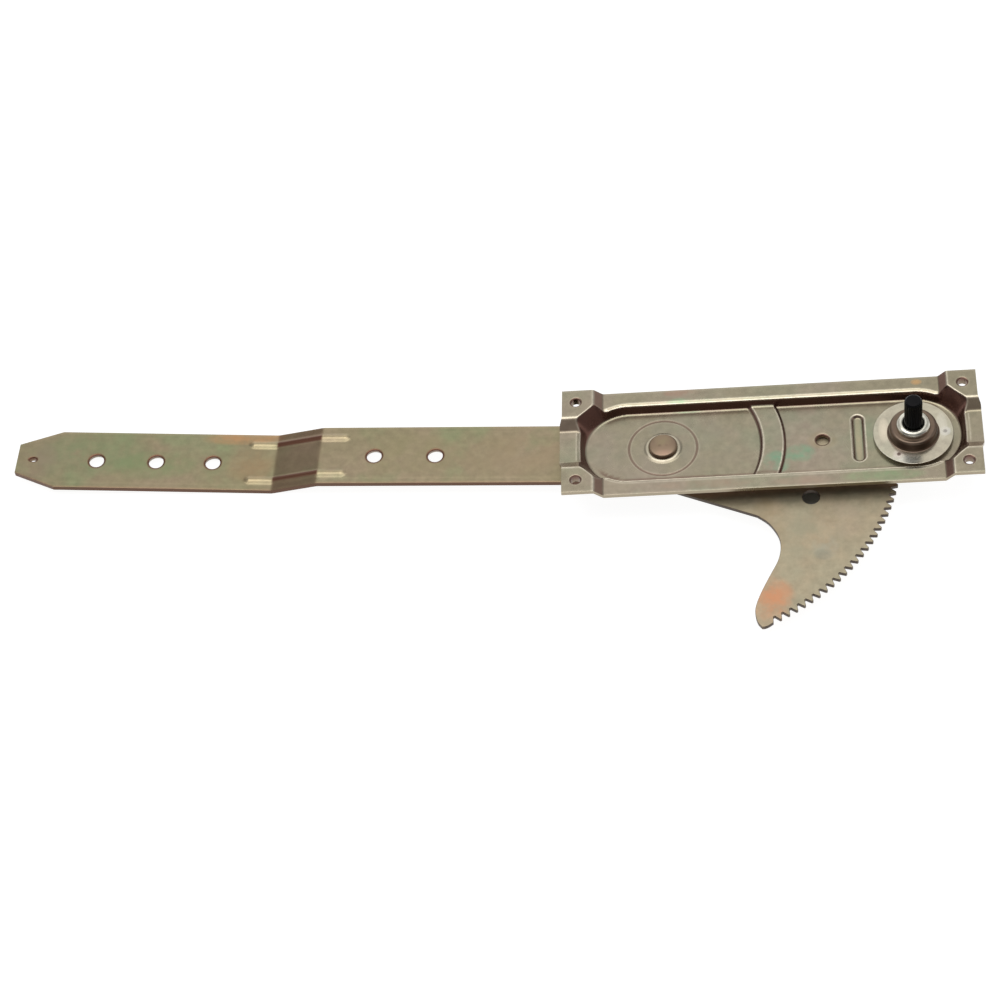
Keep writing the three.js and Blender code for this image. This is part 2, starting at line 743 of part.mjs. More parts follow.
function brakeSpring() {
  const section = new THREE.Shape().absarc(0, 0, springWire / 2, 0, 2 * Math.PI);
  const settings = { steps: 64, curveSegments: 3, extrudePath: springCentreLine() };
  return toSolid(new THREE.ExtrudeGeometry(section, settings));
}

function pinion() {
  const outline = [];
  for (let tooth = 0; tooth < pinionTeeth; tooth += 1) {
    const centre = Math.PI + ((tooth + 0.5 - toothPhase) * 2 * Math.PI) / pinionTeeth;
    outline.push(...toothPoints(pinionTeeth, centre, pinionRootRadius, pinionTipRadius, 4));
  }
  let gear = slab(new THREE.Shape(outline), pinionBottom, pinionTop);
  gear = gear.add(disc(pinionFlangeRadius, pinionFlangeBottom, pinionBottom, 0, 0));
  gear = gear.add(disc(clawOuterRadius + seatGap, pinionTop - pinionOverhang / 2, clawFloor, 0, 0));
  gear = gear.add(claw(clawInnerRadius, -90, clawFloor - clawBase / 2, springTop));
  return gear.subtract(disc(spindleRadius + runGap, lowest, springTop + 1, 0, 0));
}

const pinionWasher = () => ring(
  spindleRadius + runGap, pinionWasherRadius,
  pinionWasherTop - pinionWasherThickness, pinionWasherTop,
);

function retainingRing() {
  const half = retainingRingOpening / 2;
  const inner = spindleRadius - retainingGrooveDepth + seatGap;
  const slice = ringSlice(inner, retainingRingRadius, half, 360 - half);
  return slab(slice, retainingRingBottom, retainingRingTop, 12);
}

// A bridge of sheet under the pinion. Its legs run along the walls of the pan, and its feet are
// welded under the plate's side strips.
function pinionBracket() {
  const footTop = stripHeight - sheet;
  const slant = Math.hypot(1, pocketWallSlope);
  const footInner = pocketRadius + footTop * pocketWallSlope + sheet * slant + runGap;
  const footOuter = footInner + bracketFootLength;
  const legInner = footInner - (footTop - bracketTop) * pocketWallSlope;
  const shift = bracketSheet * (slant - pocketWallSlope);
  const half = [
    [legInner, bracketTop],
    [footInner, footTop],
    [footOuter, footTop],
    [footOuter, footTop - bracketSheet],
    [footInner + shift, footTop - bracketSheet],
    [legInner + shift, bracketBottom],
  ];
  const mirrored = half.map(([across, height]) => [-across, height]).reverse();
  const outline = [...half, ...mirrored].map(([across, height]) => new THREE.Vector2(across, height));
  const settings = { depth: bracketWidth, bevelEnabled: false };
  const strap = new THREE.ExtrudeGeometry(new THREE.Shape(outline), settings);
  strap.rotateX(Math.PI / 2).rotateZ(Math.PI / 2);
  strap.translate(bracketFromCrank, 0, 0);
  const eye = disc(bracketEyeRadius, bracketBottom, bracketTop, 0, 0);
  return toSolid(strap).add(eye).subtract(disc(spindleRadius + runGap, 2 * lowest, 0, 0, 0));
}

// ---------------------------------------------------------------- assembly
const zincYellow = { color: 0x9c9174, roughness: 0.42, metalness: 0.85 };
const zincOlive = { color: 0x938a6b, roughness: 0.45, metalness: 0.85 };
const zincWarm = { color: 0xa89a78, roughness: 0.42, metalness: 0.85 };
const brownSteel = { color: 0x5c4a42, roughness: 0.5, metalness: 0.75 };
const brightSteel = { color: 0xb8b8b0, roughness: 0.3, metalness: 0.95 };
const blackSteel = { color: 0x17171a, roughness: 0.5, metalness: 0.6 };
const springSteel = { color: 0x55565a, roughness: 0.35, metalness: 0.9 };
const bronze = { color: 0x9a7446, roughness: 0.4, metalness: 0.9 };

function addPiece(group, name, solid, look) {
  const mesh = new THREE.Mesh(toGeometry(solid), new THREE.MeshStandardMaterial(look));
  mesh.name = name;
  group.add(mesh);
  return mesh;
}

const housing = new THREE.Group();
addPiece(housing, "housing_plate", housingPlate(), zincYellow);
addPiece(housing, "pivot_pin", pivotPin(), zincWarm);
addPiece(housing, "pivot_front_washer", pivotFrontWasher(), brightSteel);
addPiece(housing, "pivot_back_washer", pivotBackWasher(), brightSteel);

const lift = new THREE.Group();
addPiece(lift, "sector_gear", sectorGear(), zincWarm);
addPiece(lift, "pivot_bush", pivotBush(), bronze);
addPiece(lift, "lift_arm", liftArm(), zincOlive).rotation.z = armHeading * degree;
for (const [index, heading] of rivetHeadings.entries()) {
  const rivet = addPiece(lift, `sector_rivet_${index + 1}`, sectorRivet(), brightSteel);
  rivet.position.set(...polar(rivetReach, heading), 0);
}

const crankAxis = new THREE.Group();
crankAxis.position.x = pivotToCrank;
addPiece(crankAxis, "brake_housing", brakeHousing(), brownSteel);
addPiece(crankAxis, "shaft_bush", shaftBush(), brightSteel);
addPiece(crankAxis, "crank_shaft", crankShaft(), blackSteel);
addPiece(crankAxis, "brake_driver", brakeDriver(), springSteel);
addPiece(crankAxis, "driver_washer", driverWasher(), brightSteel);
addPiece(crankAxis, "brake_spring", brakeSpring(), springSteel);
addPiece(crankAxis, "pinion", pinion(), springSteel);
addPiece(crankAxis, "pinion_washer", pinionWasher(), brightSteel);
addPiece(crankAxis, "pinion_bracket", pinionBracket(), zincYellow);
addPiece(crankAxis, "retaining_ring", retainingRing(), springSteel);

const mechanism = new THREE.Group();
mechanism.add(housing, lift, crankAxis);
const extent = new THREE.Box3().setFromObject(mechanism, true);
const middle = extent.getCenter(new THREE.Vector3());
mechanism.position.set(-middle.x, -middle.y, -extent.min.z);

const windowLifter = new THREE.Group();
windowLifter.add(mechanism);

export default windowLifter;
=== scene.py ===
# A hand-crank window lifter for a vehicle door, lying on its back on a pale studio floor.
# Metres, in the frame of the part's own solids: X runs along the plate towards the crank
# shaft, Y across the plate and Z up along the shaft.

import math

import bmesh
import bpy
import numpy as np
from mathutils import Matrix, Vector


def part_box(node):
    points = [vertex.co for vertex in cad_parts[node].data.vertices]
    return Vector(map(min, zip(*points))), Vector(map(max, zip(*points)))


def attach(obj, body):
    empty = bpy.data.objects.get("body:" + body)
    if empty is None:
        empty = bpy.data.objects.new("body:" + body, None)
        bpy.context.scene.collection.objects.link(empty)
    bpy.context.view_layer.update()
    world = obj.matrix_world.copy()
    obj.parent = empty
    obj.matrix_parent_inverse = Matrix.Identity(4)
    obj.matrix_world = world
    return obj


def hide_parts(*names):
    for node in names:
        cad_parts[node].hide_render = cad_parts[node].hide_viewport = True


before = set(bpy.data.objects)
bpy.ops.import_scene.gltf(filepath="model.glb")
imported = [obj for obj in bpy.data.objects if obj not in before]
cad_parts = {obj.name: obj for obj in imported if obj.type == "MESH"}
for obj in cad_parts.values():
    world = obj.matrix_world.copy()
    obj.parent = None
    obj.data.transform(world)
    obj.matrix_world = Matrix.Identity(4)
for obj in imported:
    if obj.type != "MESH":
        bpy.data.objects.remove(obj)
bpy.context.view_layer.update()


# ------------------------------------------------------------------------- studio
# The camera looks down on the plate from in front. A light tent is bright behind and above the
# part and dim in front and at its ends, so that drawn walls and cut edges fall into shade. The
# paper floor is white, with a painted shadow under the plate: in a soft oval there it has no
# glow and shows only its faint real shadow.
scene = bpy.context.scene
pivot = sum(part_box("pivot_pin"), Vector()) / 2
panel_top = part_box("brake_housing")[0].z
eye = Vector((pivot.x + 0.05945, pivot.y - 0.8468, panel_top + 1.08157))
to_the_right = Vector((0.99383, 0.01953, -0.10917))
to_the_foot = Vector((-0.05023, -0.79836, -0.60008))
ahead = Vector((-0.09888, 0.60186, -0.79246))
camera = bpy.data.objects.new("camera", bpy.data.cameras.new("camera"))
scene.collection.objects.link(camera)
turned_to = Matrix((to_the_right, -to_the_foot, -ahead)).transposed().to_4x4()
camera.matrix_world = Matrix.Translation(eye) @ turned_to
camera.data.sensor_width = 36
camera.data.lens = 106.7
camera.data.clip_end = 20
scene.camera = camera
scene.view_settings.view_transform = "Standard"


def new_material(name):
    material = bpy.data.materials.new(name)
    material.use_nodes = True
    material.node_tree.nodes.clear()
    return material, material.node_tree


def add_node(tree, kind, inputs=None, **settings):
    """A node with its settings, and with each input linked or set to a plain value."""
    node = tree.nodes.new(kind)
    for key, value in settings.items():
        setattr(node, key, value)
    for key, value in (inputs or {}).items():
        if isinstance(value, bpy.types.NodeSocket):
            tree.links.new(value, node.inputs[key])
        else:
            node.inputs[key].default_value = value
    return node


def reckon(tree, first, second, operation="MULTIPLY", clamp=False):
    node = add_node(tree, "ShaderNodeMath", {0: first, 1: second}, operation=operation)
    node.use_clamp = clamp
    return node.outputs[0]


def stepped(tree, value, stops, mode="LINEAR"):
    """A value turned into levels that pass through (place, level) stops."""
    ramp = add_node(tree, "ShaderNodeValToRGB", {"Fac": value})
    ramp.color_ramp.interpolation = mode
    while len(ramp.color_ramp.elements) < len(stops):
        ramp.color_ramp.elements.new(0.5)
    for element, (place, level) in zip(ramp.color_ramp.elements, stops):
        element.position = place
        element.color = (level, level, level, 1)
    return ramp.outputs["Color"]


def looked_at(tree):
    """One for the rays that show the background: those of the eye, of gloss and of glass."""
    rays = add_node(tree, "ShaderNodeLightPath").outputs
    shown = rays["Is Camera Ray"]
    for kind in ("Is Glossy Ray", "Is Transmission Ray"):
        shown = reckon(tree, shown, rays[kind], "MAXIMUM")
    return shown


bpy.ops.object.select_all(action="DESELECT")
bpy.ops.mesh.primitive_plane_add(size=8, location=(0, 0, 0))
floor = bpy.context.object
floor.name = "floor"
paper, tree = new_material("studio_paper")
# Painted shadow: inside this soft oval the paper loses its white glow and turns dark, and only
# the real shadow on its faint diffuse part shows.
oval_x, oval_y = pivot.x + 0.062, pivot.y - 0.008
oval_long, oval_wide = 0.044, 0.03
oval = add_node(
    tree,
    "ShaderNodeMapping",
    {
        "Vector": add_node(tree, "ShaderNodeTexCoord").outputs["Object"],
        "Location": (-oval_x / oval_long, -oval_y / oval_wide, 0),
        "Scale": (1 / oval_long, 1 / oval_wide, 0),
    },
)
from_oval = add_node(tree, "ShaderNodeVectorMath", {0: oval.outputs[0]}, operation="LENGTH")
past_oval = stepped(tree, from_oval.outputs["Value"], [(0.6, 0), (1, 1)], mode="EASE")
white = add_node(tree, "ShaderNodeEmission", {"Color": past_oval, "Strength": 0.93})
shadowed = add_node(tree, "ShaderNodeBsdfDiffuse", {"Color": (0.25, 0.25, 0.25, 1)})
seen = add_node(tree, "ShaderNodeAddShader", {0: white.outputs[0], 1: shadowed.outputs[0]})
lit = add_node(tree, "ShaderNodeBsdfDiffuse", {"Color": (0.45, 0.45, 0.45, 1)})
both = add_node(
    tree, "ShaderNodeMixShader", {0: looked_at(tree), 1: lit.outputs[0], 2: seen.outputs[0]}
)
add_node(tree, "ShaderNodeOutputMaterial", {"Surface": both.outputs[0]})
floor.data.materials.append(paper)

world = bpy.data.worlds.new("studio_room")
world.use_nodes = True
scene.world = world
room = world.node_tree
room.nodes.clear()
light_given, light_seen = 0.4, 1.0
level = add_node(room, "ShaderNodeMix", {0: looked_at(room), 2: light_given, 3: light_seen})
sky = add_node(
    room, "ShaderNodeBackground", {"Color": (1, 1, 1, 1), "Strength": level.outputs[0]}
)
add_node(room, "ShaderNodeOutputWorld", {"Surface": sky.outputs[0]})

tent_radius = 3
bpy.ops.mesh.primitive_uv_sphere_add(segments=96, ring_count=64, radius=tent_radius)
tent = bpy.context.object
tent.name = "light_tent"
bpy.ops.object.mode_set(mode="EDIT")
bpy.ops.mesh.select_all(action="SELECT")
bpy.ops.mesh.bisect(plane_co=(0, 0, -0.01), plane_no=(0, 0, 1), clear_inner=True)
bpy.ops.object.mode_set(mode="OBJECT")
bpy.ops.object.shade_smooth()
tent.visible_camera = False
tent_cloth, tree = new_material("tent_cloth")
place = add_node(tree, "ShaderNodeTexCoord").outputs["Object"]
to_one = {0: place, 1: (1 / tent_radius,) * 3}
place = add_node(tree, "ShaderNodeVectorMath", to_one, operation="MULTIPLY")
place = add_node(tree, "ShaderNodeSeparateXYZ", {0: place.outputs[0]}).outputs
tipped = reckon(tree, reckon(tree, place["Z"], place["Y"], "ARCTAN2"), math.pi, "DIVIDE")
over = stepped(
    tree,
    tipped,
    [
        (0, 1.2),
        (0.08, 1.2),
        (0.16, 0.98),
        (0.3, 0.84),
        (0.42, 0.9),
        (0.47, 1.1),
        (0.56, 1.1),
        (0.62, 0.42),
        (0.7, 0.26),
        (0.92, 0.36),
        (1, 0.6),
    ],
)
sideways = reckon(tree, place["X"], 0.05, "ADD")
aside = stepped(
    tree,
    reckon(tree, sideways, sideways),
    [(0, 1), (0.05, 0.92), (0.18, 0.47), (0.4, 0.44), (1, 0.85)],
)
glow = reckon(tree, over, aside)
cloth = add_node(tree, "ShaderNodeEmission", {"Color": (1, 1, 1, 1), "Strength": glow})
add_node(tree, "ShaderNodeOutputMaterial", {"Surface": cloth.outputs[0]})
tent.data.materials.append(tent_cloth)
tent_cloth.cycles.emission_sampling = "NONE"

lamp = bpy.data.objects.new("soft_box", bpy.data.lights.new("soft_box", "AREA"))
scene.collection.objects.link(lamp)
lamp.data.shape = "RECTANGLE"
lamp.data.size = 1.3
lamp.data.size_y = 0.7
lamp.data.energy = 4
lamp.location = (-0.02, 0.22, 1.25)
lamp.rotation_euler = lamp.location.to_track_quat("Z", "Y").to_euler()


# ------------------------------------------------------------------------- plated finish
# Stamped steel with a thin yellow-zinc plating: an olive film that shifts to pink and green in
# cloudy patches, with fine rolling lines, rubbed brighter with a painted highlight on bends and
# cut edges, and with painted shade in hollows.
mm = 0.001
COLOUR, VALUE, PLACE = "NodeSocketColor", "NodeSocketFloat", "NodeSocketVector"


def node_group(name, takes, gives):
    """A new effect, with the sockets that lead into it and out of it."""
    group = bpy.data.node_groups.new(name, "ShaderNodeTree")
    for label, kind in takes.items():
        group.interface.new_socket(label, in_out="INPUT", socket_type=kind)
    for label, kind in gives.items():
        group.interface.new_socket(label, in_out="OUTPUT", socket_type=kind)
    start = group.nodes.new("NodeGroupInput")
    end = group.nodes.new("NodeGroupOutput")
    return group, start.outputs, end.inputs


def cloud(tree, place, size, detail, roughness, offset=(0, 0, 0)):
    """Uneven patches of about a size in metres."""
    moved = add_node(tree, "ShaderNodeMapping", {"Vector": place, "Location": offset})
    return add_node(
        tree,
        "ShaderNodeTexNoise",
        {
            "Vector": moved.outputs[0],
            "Scale": 1 / size,
            "Detail": detail,
            "Roughness": roughness,
        },
    ).outputs["Fac"]


def mixed(tree, share, first, second, blend="MIX"):
    """Two colours mixed: a Mix node takes colours at sockets 6 and 7 and gives one at 2."""
    inputs = {0: share, 6: first, 7: second}
    node = add_node(tree, "ShaderNodeMix", inputs, data_type="RGBA", blend_type=blend)
    return node.outputs[2]


zinc_film, takes, gives = node_group(
    "zinc_film",
    {"Olive": COLOUR, "Pink": COLOUR, "Green": COLOUR, "Pinkness": VALUE, "Greenness": VALUE},
    {"Color": COLOUR, "Roughness": VALUE},
)
place = add_node(zinc_film, "ShaderNodeTexCoord").outputs["Object"]
broad = cloud(zinc_film, place, 0.045, 4, 0.6)
patches = cloud(zinc_film, place, 0.03, 3, 0.6, (0.3, 0.1, 0))
fine = cloud(zinc_film, place, 0.004, 3, 0.6, (0.7, 0, 0.2))
pink_mask = stepped(zinc_film, broad, [(0.42, 0), (0.62, 1)])
green_mask = stepped(zinc_film, patches, [(0.5, 0), (0.68, 1)])
film = mixed(
    zinc_film, reckon(zinc_film, pink_mask, takes["Pinkness"]), takes["Olive"], takes["Pink"]
)
film = mixed(zinc_film, reckon(zinc_film, green_mask, takes["Greenness"]), film, takes["Green"])
mottle = stepped(zinc_film, fine, [(0.3, 0.88), (0.7, 1.1)])
film = mixed(zinc_film, 1.0, film, mottle, "MULTIPLY")
zinc_film.links.new(film, gives["Color"])
zinc_film.links.new(stepped(zinc_film, broad, [(0.3, 0.34), (0.7, 0.44)]), gives["Roughness"])

wear, takes, gives = node_group(
    "wear",
    {"Color": COLOUR, "Rubbed_and_highlit": COLOUR, "Painted_shade": COLOUR, "Cut": COLOUR},
    {"Color": COLOUR},
)
place = add_node(wear, "ShaderNodeTexCoord").outputs["Object"]
spots = stepped(wear, cloud(wear, place, 0.003, 4, 0.7), [(0.35, 0.55), (0.6, 1)])
# The rubbed mark lightens worn bends and edges with a painted highlight, and the painted-shade
# mark darkens walls, creases, hollows and rims in place of shade.
edge = add_node(wear, "ShaderNodeAttribute", attribute_name="rubbed_and_highlit").outputs["Fac"]
deep = add_node(wear, "ShaderNodeAttribute", attribute_name="painted_shade").outputs["Fac"]
side = add_node(wear, "ShaderNodeAttribute", attribute_name="cut").outputs["Fac"]
worn = mixed(wear, reckon(wear, edge, spots, clamp=True), takes["Color"], takes["Rubbed_and_highlit"])
worn = mixed(wear, reckon(wear, deep, 1.0, clamp=True), worn, takes["Painted_shade"])
worn = mixed(wear, reckon(wear, side, 0.9, clamp=True), worn, takes["Cut"])
wear.links.new(worn, gives["Color"])

rolling, takes, gives = node_group(
    "rolling_lines", {"Lines": VALUE, "Pits": VALUE}, {"Height": VALUE}
)
place = add_node(rolling, "ShaderNodeTexCoord").outputs["Object"]
stretched = add_node(rolling, "ShaderNodeMapping", {"Vector": place, "Scale": (0.06, 1, 1)})
lines = cloud(rolling, stretched.outputs[0], 0.0006, 2, 0.5)
pits = cloud(rolling, place, 0.0012, 3, 0.6)
lines = reckon(rolling, lines, takes["Lines"])
pits = reckon(rolling, pits, takes["Pits"])
rolling.links.new(reckon(rolling, lines, pits, "ADD"), gives["Height"])

bloom, takes, gives = node_group(
    "bloom",
    {"Centre": PLACE, "Long": VALUE, "Wide": VALUE, "Whole": VALUE, "Strength": VALUE},
    {"Mask": VALUE},
)
place = add_node(bloom, "ShaderNodeTexCoord").outputs["Object"]
to_centre = {0: place, 1: takes["Centre"]}
away = add_node(bloom, "ShaderNodeVectorMath", to_centre, operation="SUBTRACT")
away = add_node(bloom, "ShaderNodeSeparateXYZ", {0: away.outputs[0]}).outputs
along = reckon(bloom, away["X"], takes["Long"], "DIVIDE")
across = reckon(bloom, away["Y"], takes["Wide"], "DIVIDE")
reach = reckon(bloom, reckon(bloom, along, along), reckon(bloom, across, across), "ADD")
ragged = cloud(bloom, place, 0.012, 4, 0.65, (0.2, 0.4, 0))
ragged = stepped(bloom, ragged, [(0.32, 0), (0.6, 1)])
ragged = reckon(bloom, ragged, takes["Whole"], "MAXIMUM")
near = stepped(bloom, reach, [(0, 1), (0.35, 0.7), (1, 0)], "EASE")
bloom.links.new(
    reckon(bloom, reckon(bloom, near, ragged), takes["Strength"], clamp=True), gives["Mask"]
)


def use_group(tree, group, inputs):
    return add_node(tree, "ShaderNodeGroup", inputs, node_tree=group).outputs


def colour(red, green, blue):
    """A colour as it is seen, from 0 to 255, in the linear values that a finish takes."""
    parts = [part / 255 for part in (red, green, blue)]
    return [p / 12.92 if p < 0.04045 else ((p + 0.055) / 1.055) ** 2.4 for p in parts] + [1]


def on_part(x, y):
    """A place given in millimetres from the arm's pivot."""
    return (pivot.x + x * mm, pivot.y + y * mm, panel_top)


def steel(name, film, rubbed_and_highlit, painted_shade, cut, metallic, roughness, bump=0.00002, blooms=()):
    """A metal finish from its film colours, with worn edges and bends that also carry a painted
    highlight, painted shade in hollows, grain and local blooms, each a (place, length, width,
    colour, strength): small ones are whole and larger ones ragged."""
    whole_below = 4.6
    middling_roughness = 0.39
    material, tree = new_material(name)
    coat = use_group(tree, zinc_film, film)
    film_colour = coat["Color"]
    for centre, long, wide, tint, strength in blooms:
        patch = use_group(
            tree,
            bloom,
            {
                "Centre": centre,
                "Long": long * mm,
                "Wide": wide * mm,
                "Whole": 1.0 if long < whole_below else 0.0,
                "Strength": strength,
            },
        )
        film_colour = mixed(tree, patch["Mask"], film_colour, tint)
    worn = use_group(
        tree, wear, {"Color": film_colour, "Rubbed_and_highlit": rubbed_and_highlit, "Painted_shade": painted_shade, "Cut": cut}
    )
    grain = use_group(tree, rolling, {"Lines": 0.6, "Pits": 0.4})
    relief = add_node(
        tree,
        "ShaderNodeBump",
        {"Height": grain["Height"], "Distance": bump, "Strength": 0.5},
    )
    gloss = reckon(tree, coat["Roughness"], roughness / middling_roughness)
    surface = add_node(
        tree,
        "ShaderNodeBsdfPrincipled",
        {
            "Base Color": worn["Color"],
            "Roughness": gloss,
            "Metallic": metallic,
            "Normal": relief.outputs[0],
        },
    )
    add_node(tree, "ShaderNodeOutputMaterial", {"Surface": surface.outputs[0]})
    return material


# ------------------------------------------------------------------------- housing plate
# One stamping in 2 mm steel: a long round-ended pan between two side strips, with four
# raised ears that carry drawn and tapped holes. The pan has a raised curved band for the
# sector's rivets, a sunk rib and a dished seat for the arm's pivot.
sheet = 2.0
strip_height = 5.3
ear_height = 9.0
plate_left, plate_right = -46.4, 145.3
plate_half = 29.75
pan_half = 20.9
pan_left, pan_right = -36.3, 137.0
band_inner, band_outer, band_rise = (44.5, 46.5), (56.9, 55.6), 1.4
rib_place, rib_half, rib_depth = 90, 10.6, 1.1
groove_radius = 15.8
tapped_radius = 2.25
ear_holes = [(x, y) for x in (-39.9, 138.8) for y in (-22.7, 22.7)]
plate_holes = [(x, y, tapped_radius) for x, y in ear_holes]
plate_holes += [(73.5, 0, 3.0), (0, 0, 5.1), (115, 0, 9.5)]
plate_zinc = steel(
    "plate_zinc",
    {
        "Olive": colour(164, 155, 131),
        "Pink": colour(170, 155, 139),
        "Green": colour(150, 159, 132),
        "Pinkness": 0.7,
        "Greenness": 0.45,
    },
    rubbed_and_highlit=colour(230, 220, 198),
    painted_shade=colour(116, 84, 74),
    cut=colour(174, 162, 140),
    metallic=0.85,
    roughness=0.27,
    blooms=(
        (on_part(52, -12), 7, 7, colour(118, 174, 140), 0.85),
        (on_part(63, -7), 8, 6, colour(118, 176, 140), 0.85),
        # The light strip along the sunk rib is a painted highlight on its floor.
        (on_part(90, 0), 1.8, 15, colour(194, 180, 148), 0.8),
        (on_part(73.5, 0), 8, 6, colour(176, 156, 118), 0.55),
        (on_part(12, 22.5), 12, 3, colour(130, 186, 140), 0.8),
        (on_part(100, -26), 22, 4, colour(150, 176, 132), 0.6),
        (on_part(9, 28), 10, 2.5, colour(176, 128, 112), 0.6),
        (on_part(96, 3), 12, 12, colour(150, 164, 134), 0.5),
        (on_part(118, 27), 3, 2, colour(214, 172, 120), 0.8),
        (on_part(20, -26), 26, 3, colour(178, 150, 128), 0.5),
        (on_part(64, -27), 16, 3, colour(182, 152, 134), 0.5),
        (on_part(0, 0), 42, 22, colour(160, 150, 134), 0.5),
    ),
)


def over_max(first, second, reach):
    """The higher of two surfaces, with a rounded crease where they meet."""
    overlap = np.maximum(reach - np.abs(first - second), 0)
    return np.maximum(first, second) + overlap**2 / (4 * reach)


def under_min(first, second, reach):
    return -over_max(-first, -second, reach)


def rising(value, low, high):
    """Eases from 0 to 1 as a value goes from low to high."""
    share = np.clip((value - low) / (high - low), 0, 1)
    return share * share * (3 - 2 * share)


def rim_reach(x, y, holes):
    """How far each point is outside the rim of the nearest round hole."""
    reach = np.full_like(x, 99.0)
    for hole_x, hole_y, radius in holes:
        reach = np.minimum(reach, np.hypot(x - hole_x, y - hole_y) - radius)
    return reach


def past_pan(x, y, half, left, right):
    """How far each point is outside a round-ended pan."""
    centre = np.clip(x, left + half, right - half)
    return np.hypot(x - centre, y) - half


def wall_run(x, y):
    """How far the wall leans back for each millimetre of height: it is steep beside the
    strips, leans at the ends, and leans most where it climbs to the ears."""
    side_lean, end_lean, ear_lean = 0.75, 1.8, 3.1
    beyond = np.where(x < 50, pan_left + pan_half - x, x - pan_right + pan_half)
    angle = np.arctan2(np.abs(y), np.maximum(beyond, 0))
    to_side = pan_half + side_lean + 3.4 * rising(angle, math.radians(64), math.radians(50))
    to_end = (pan_half + end_lean) / np.maximum(np.cos(angle), 0.2)
    to_ear = (pan_half + ear_lean) / np.maximum(np.cos(angle - math.pi / 4), 0.2)
    return (under_min(under_min(to_side, to_end, 1.0), to_ear, 1.0) - pan_half) / strip_height


def ear_form(x, y):
    """The strips, which ease down towards the pan, and an ear at each corner that slopes
    down on its inner sides."""
    side_fall, facet = 0.66, 5.5
    top_of_wall = past_pan(x, y, pan_half, pan_left, pan_right) - wall_run(x, y) * strip_height
    form = strip_height - 0.25 * np.clip(1.7 - top_of_wall, 0, 2.2)
    for end, length, fall in ((plate_left, 14.7, 0.88), (plate_right, 13.6, 1.0)):
        for side, inner in ((-1, 15.3), (1, 13.8)):
            past_end = (x - end) * (1 if end < 0 else -1) - length
            past_side = inner - side * y
            corner = (past_end + past_side + facet) / math.sqrt(2)
            drop = over_max(over_max(fall * past_end, side_fall * past_side, 0.6), corner, 1.0)
            ear = under_min(np.full_like(x, ear_height), ear_height - drop, 0.5)
            form = over_max(form, ear, 0.45)
    return form


def pan_form(x, y, detail):
    """The pan's floor with its band, rib and seat, and in detail the ring groove and the
    crease along its edge."""
    reach = np.hypot(x, y)
    band = rising(reach, *band_inner) * rising(reach, *band_outer) * (x > 0)
    rib = np.hypot(x - rib_place, y - np.clip(y, -rib_half, rib_half))
    seat_lip = 0.5 * rising(reach, 9.3, 7.3)
    pan = band_rise * band - rib_depth * rising(rib, 3.3, 1.5) + seat_lip
    if detail:
        pan = pan - 0.07 * rising(np.abs(reach - groove_radius), 0.6, 0.2)
        beside = past_pan(x, y, pan_half, pan_left, pan_right)
        pan = pan + 0.35 * np.clip(beside / 1.3 + 1, 0, 2) ** 2 * rising(y, -19, -8)
    return pan


def plate_top(x, y):
    run = wall_run(x, y)
    wall = past_pan(x, y, pan_half, pan_left, pan_right) / run
    inside = over_max(pan_form(x, y, True), wall, 0.5)
    top = under_min(ear_form(x, y), inside, 0.6)
    edge = np.minimum(plate_half - np.abs(y), np.minimum(x - plate_left, plate_right - x) + 1.2)
    top = top - 0.05 * rising(edge, 0.3, 0.0)
    return top - 0.35 * rising(rim_reach(x, y, plate_holes), 0.6, 0.0)


def plate_painted_shade(x, y, slope):
    """Painted shade on steep walls, in the seat's groove and in the crease along the near side
    of the pan."""
    beside = past_pan(x, y, pan_half, pan_left, pan_right)
    crease = rising(beside, -4.0, -3.3) * rising(beside, -1.6, -2.4) * rising(y, -9, -15)
    crease = crease * (0.7 - 0.45 * rising(x, 10, 80))
    groove = 0.6 * rising(np.abs(np.hypot(x, y) - groove_radius), 0.8, 0.35)
    return np.maximum(np.maximum(crease, groove), np.clip((slope - 0.35) * 1.4, 0, 1))


def plate_underside(x, y):
    lean = 0.566
    under_half, under_left, under_right = 19.8, -36.0, 136.7
    wall = past_pan(x, y, under_half, under_left, under_right) / lean
    wall = wall - sheet * math.hypot(1, 1 / lean)
    under = under_min(
        ear_form(x, y) - sheet, over_max(pan_form(x, y, False) - sheet, wall, 1.0), 1.5
    )
    drawn_collars = 2.3 * rising(rim_reach(x, y, plate_holes[:4]), 1.9, 1.2)
    return np.minimum(under - drawn_collars, plate_top(x, y) - 1.1)


def bending(height, x, y, step):
    """How sharply a surface bends along and across the part, over two steps."""
    here = height(x, y)
    along = height(x + step, y) + height(x - step, y) - 2 * here
    across = height(x, y + step) + height(x, y - step) - 2 * here
    return along, across


def steepness(height, x, y):
    step = 0.2
    return np.hypot(
        height(x + step, y) - height(x - step, y), height(x, y + step) - height(x, y - step)
    ) / (2 * step)


def coordinates(mesh):
    points = np.zeros(len(mesh.vertices) * 3)
    mesh.vertices.foreach_get("co", points)
    return points.reshape(-1, 3)


def marked(mesh, name, shares, domain="POINT"):
    """Keeps a share for each point or face, which the finish reads by its name."""
    layer = mesh.attributes.new(name, "FLOAT", domain)
    layer.data.foreach_set("value", np.asarray(shares, dtype=np.float32))


def apart(point, x, y):
    return math.hypot(point.x - x, point.y - y)


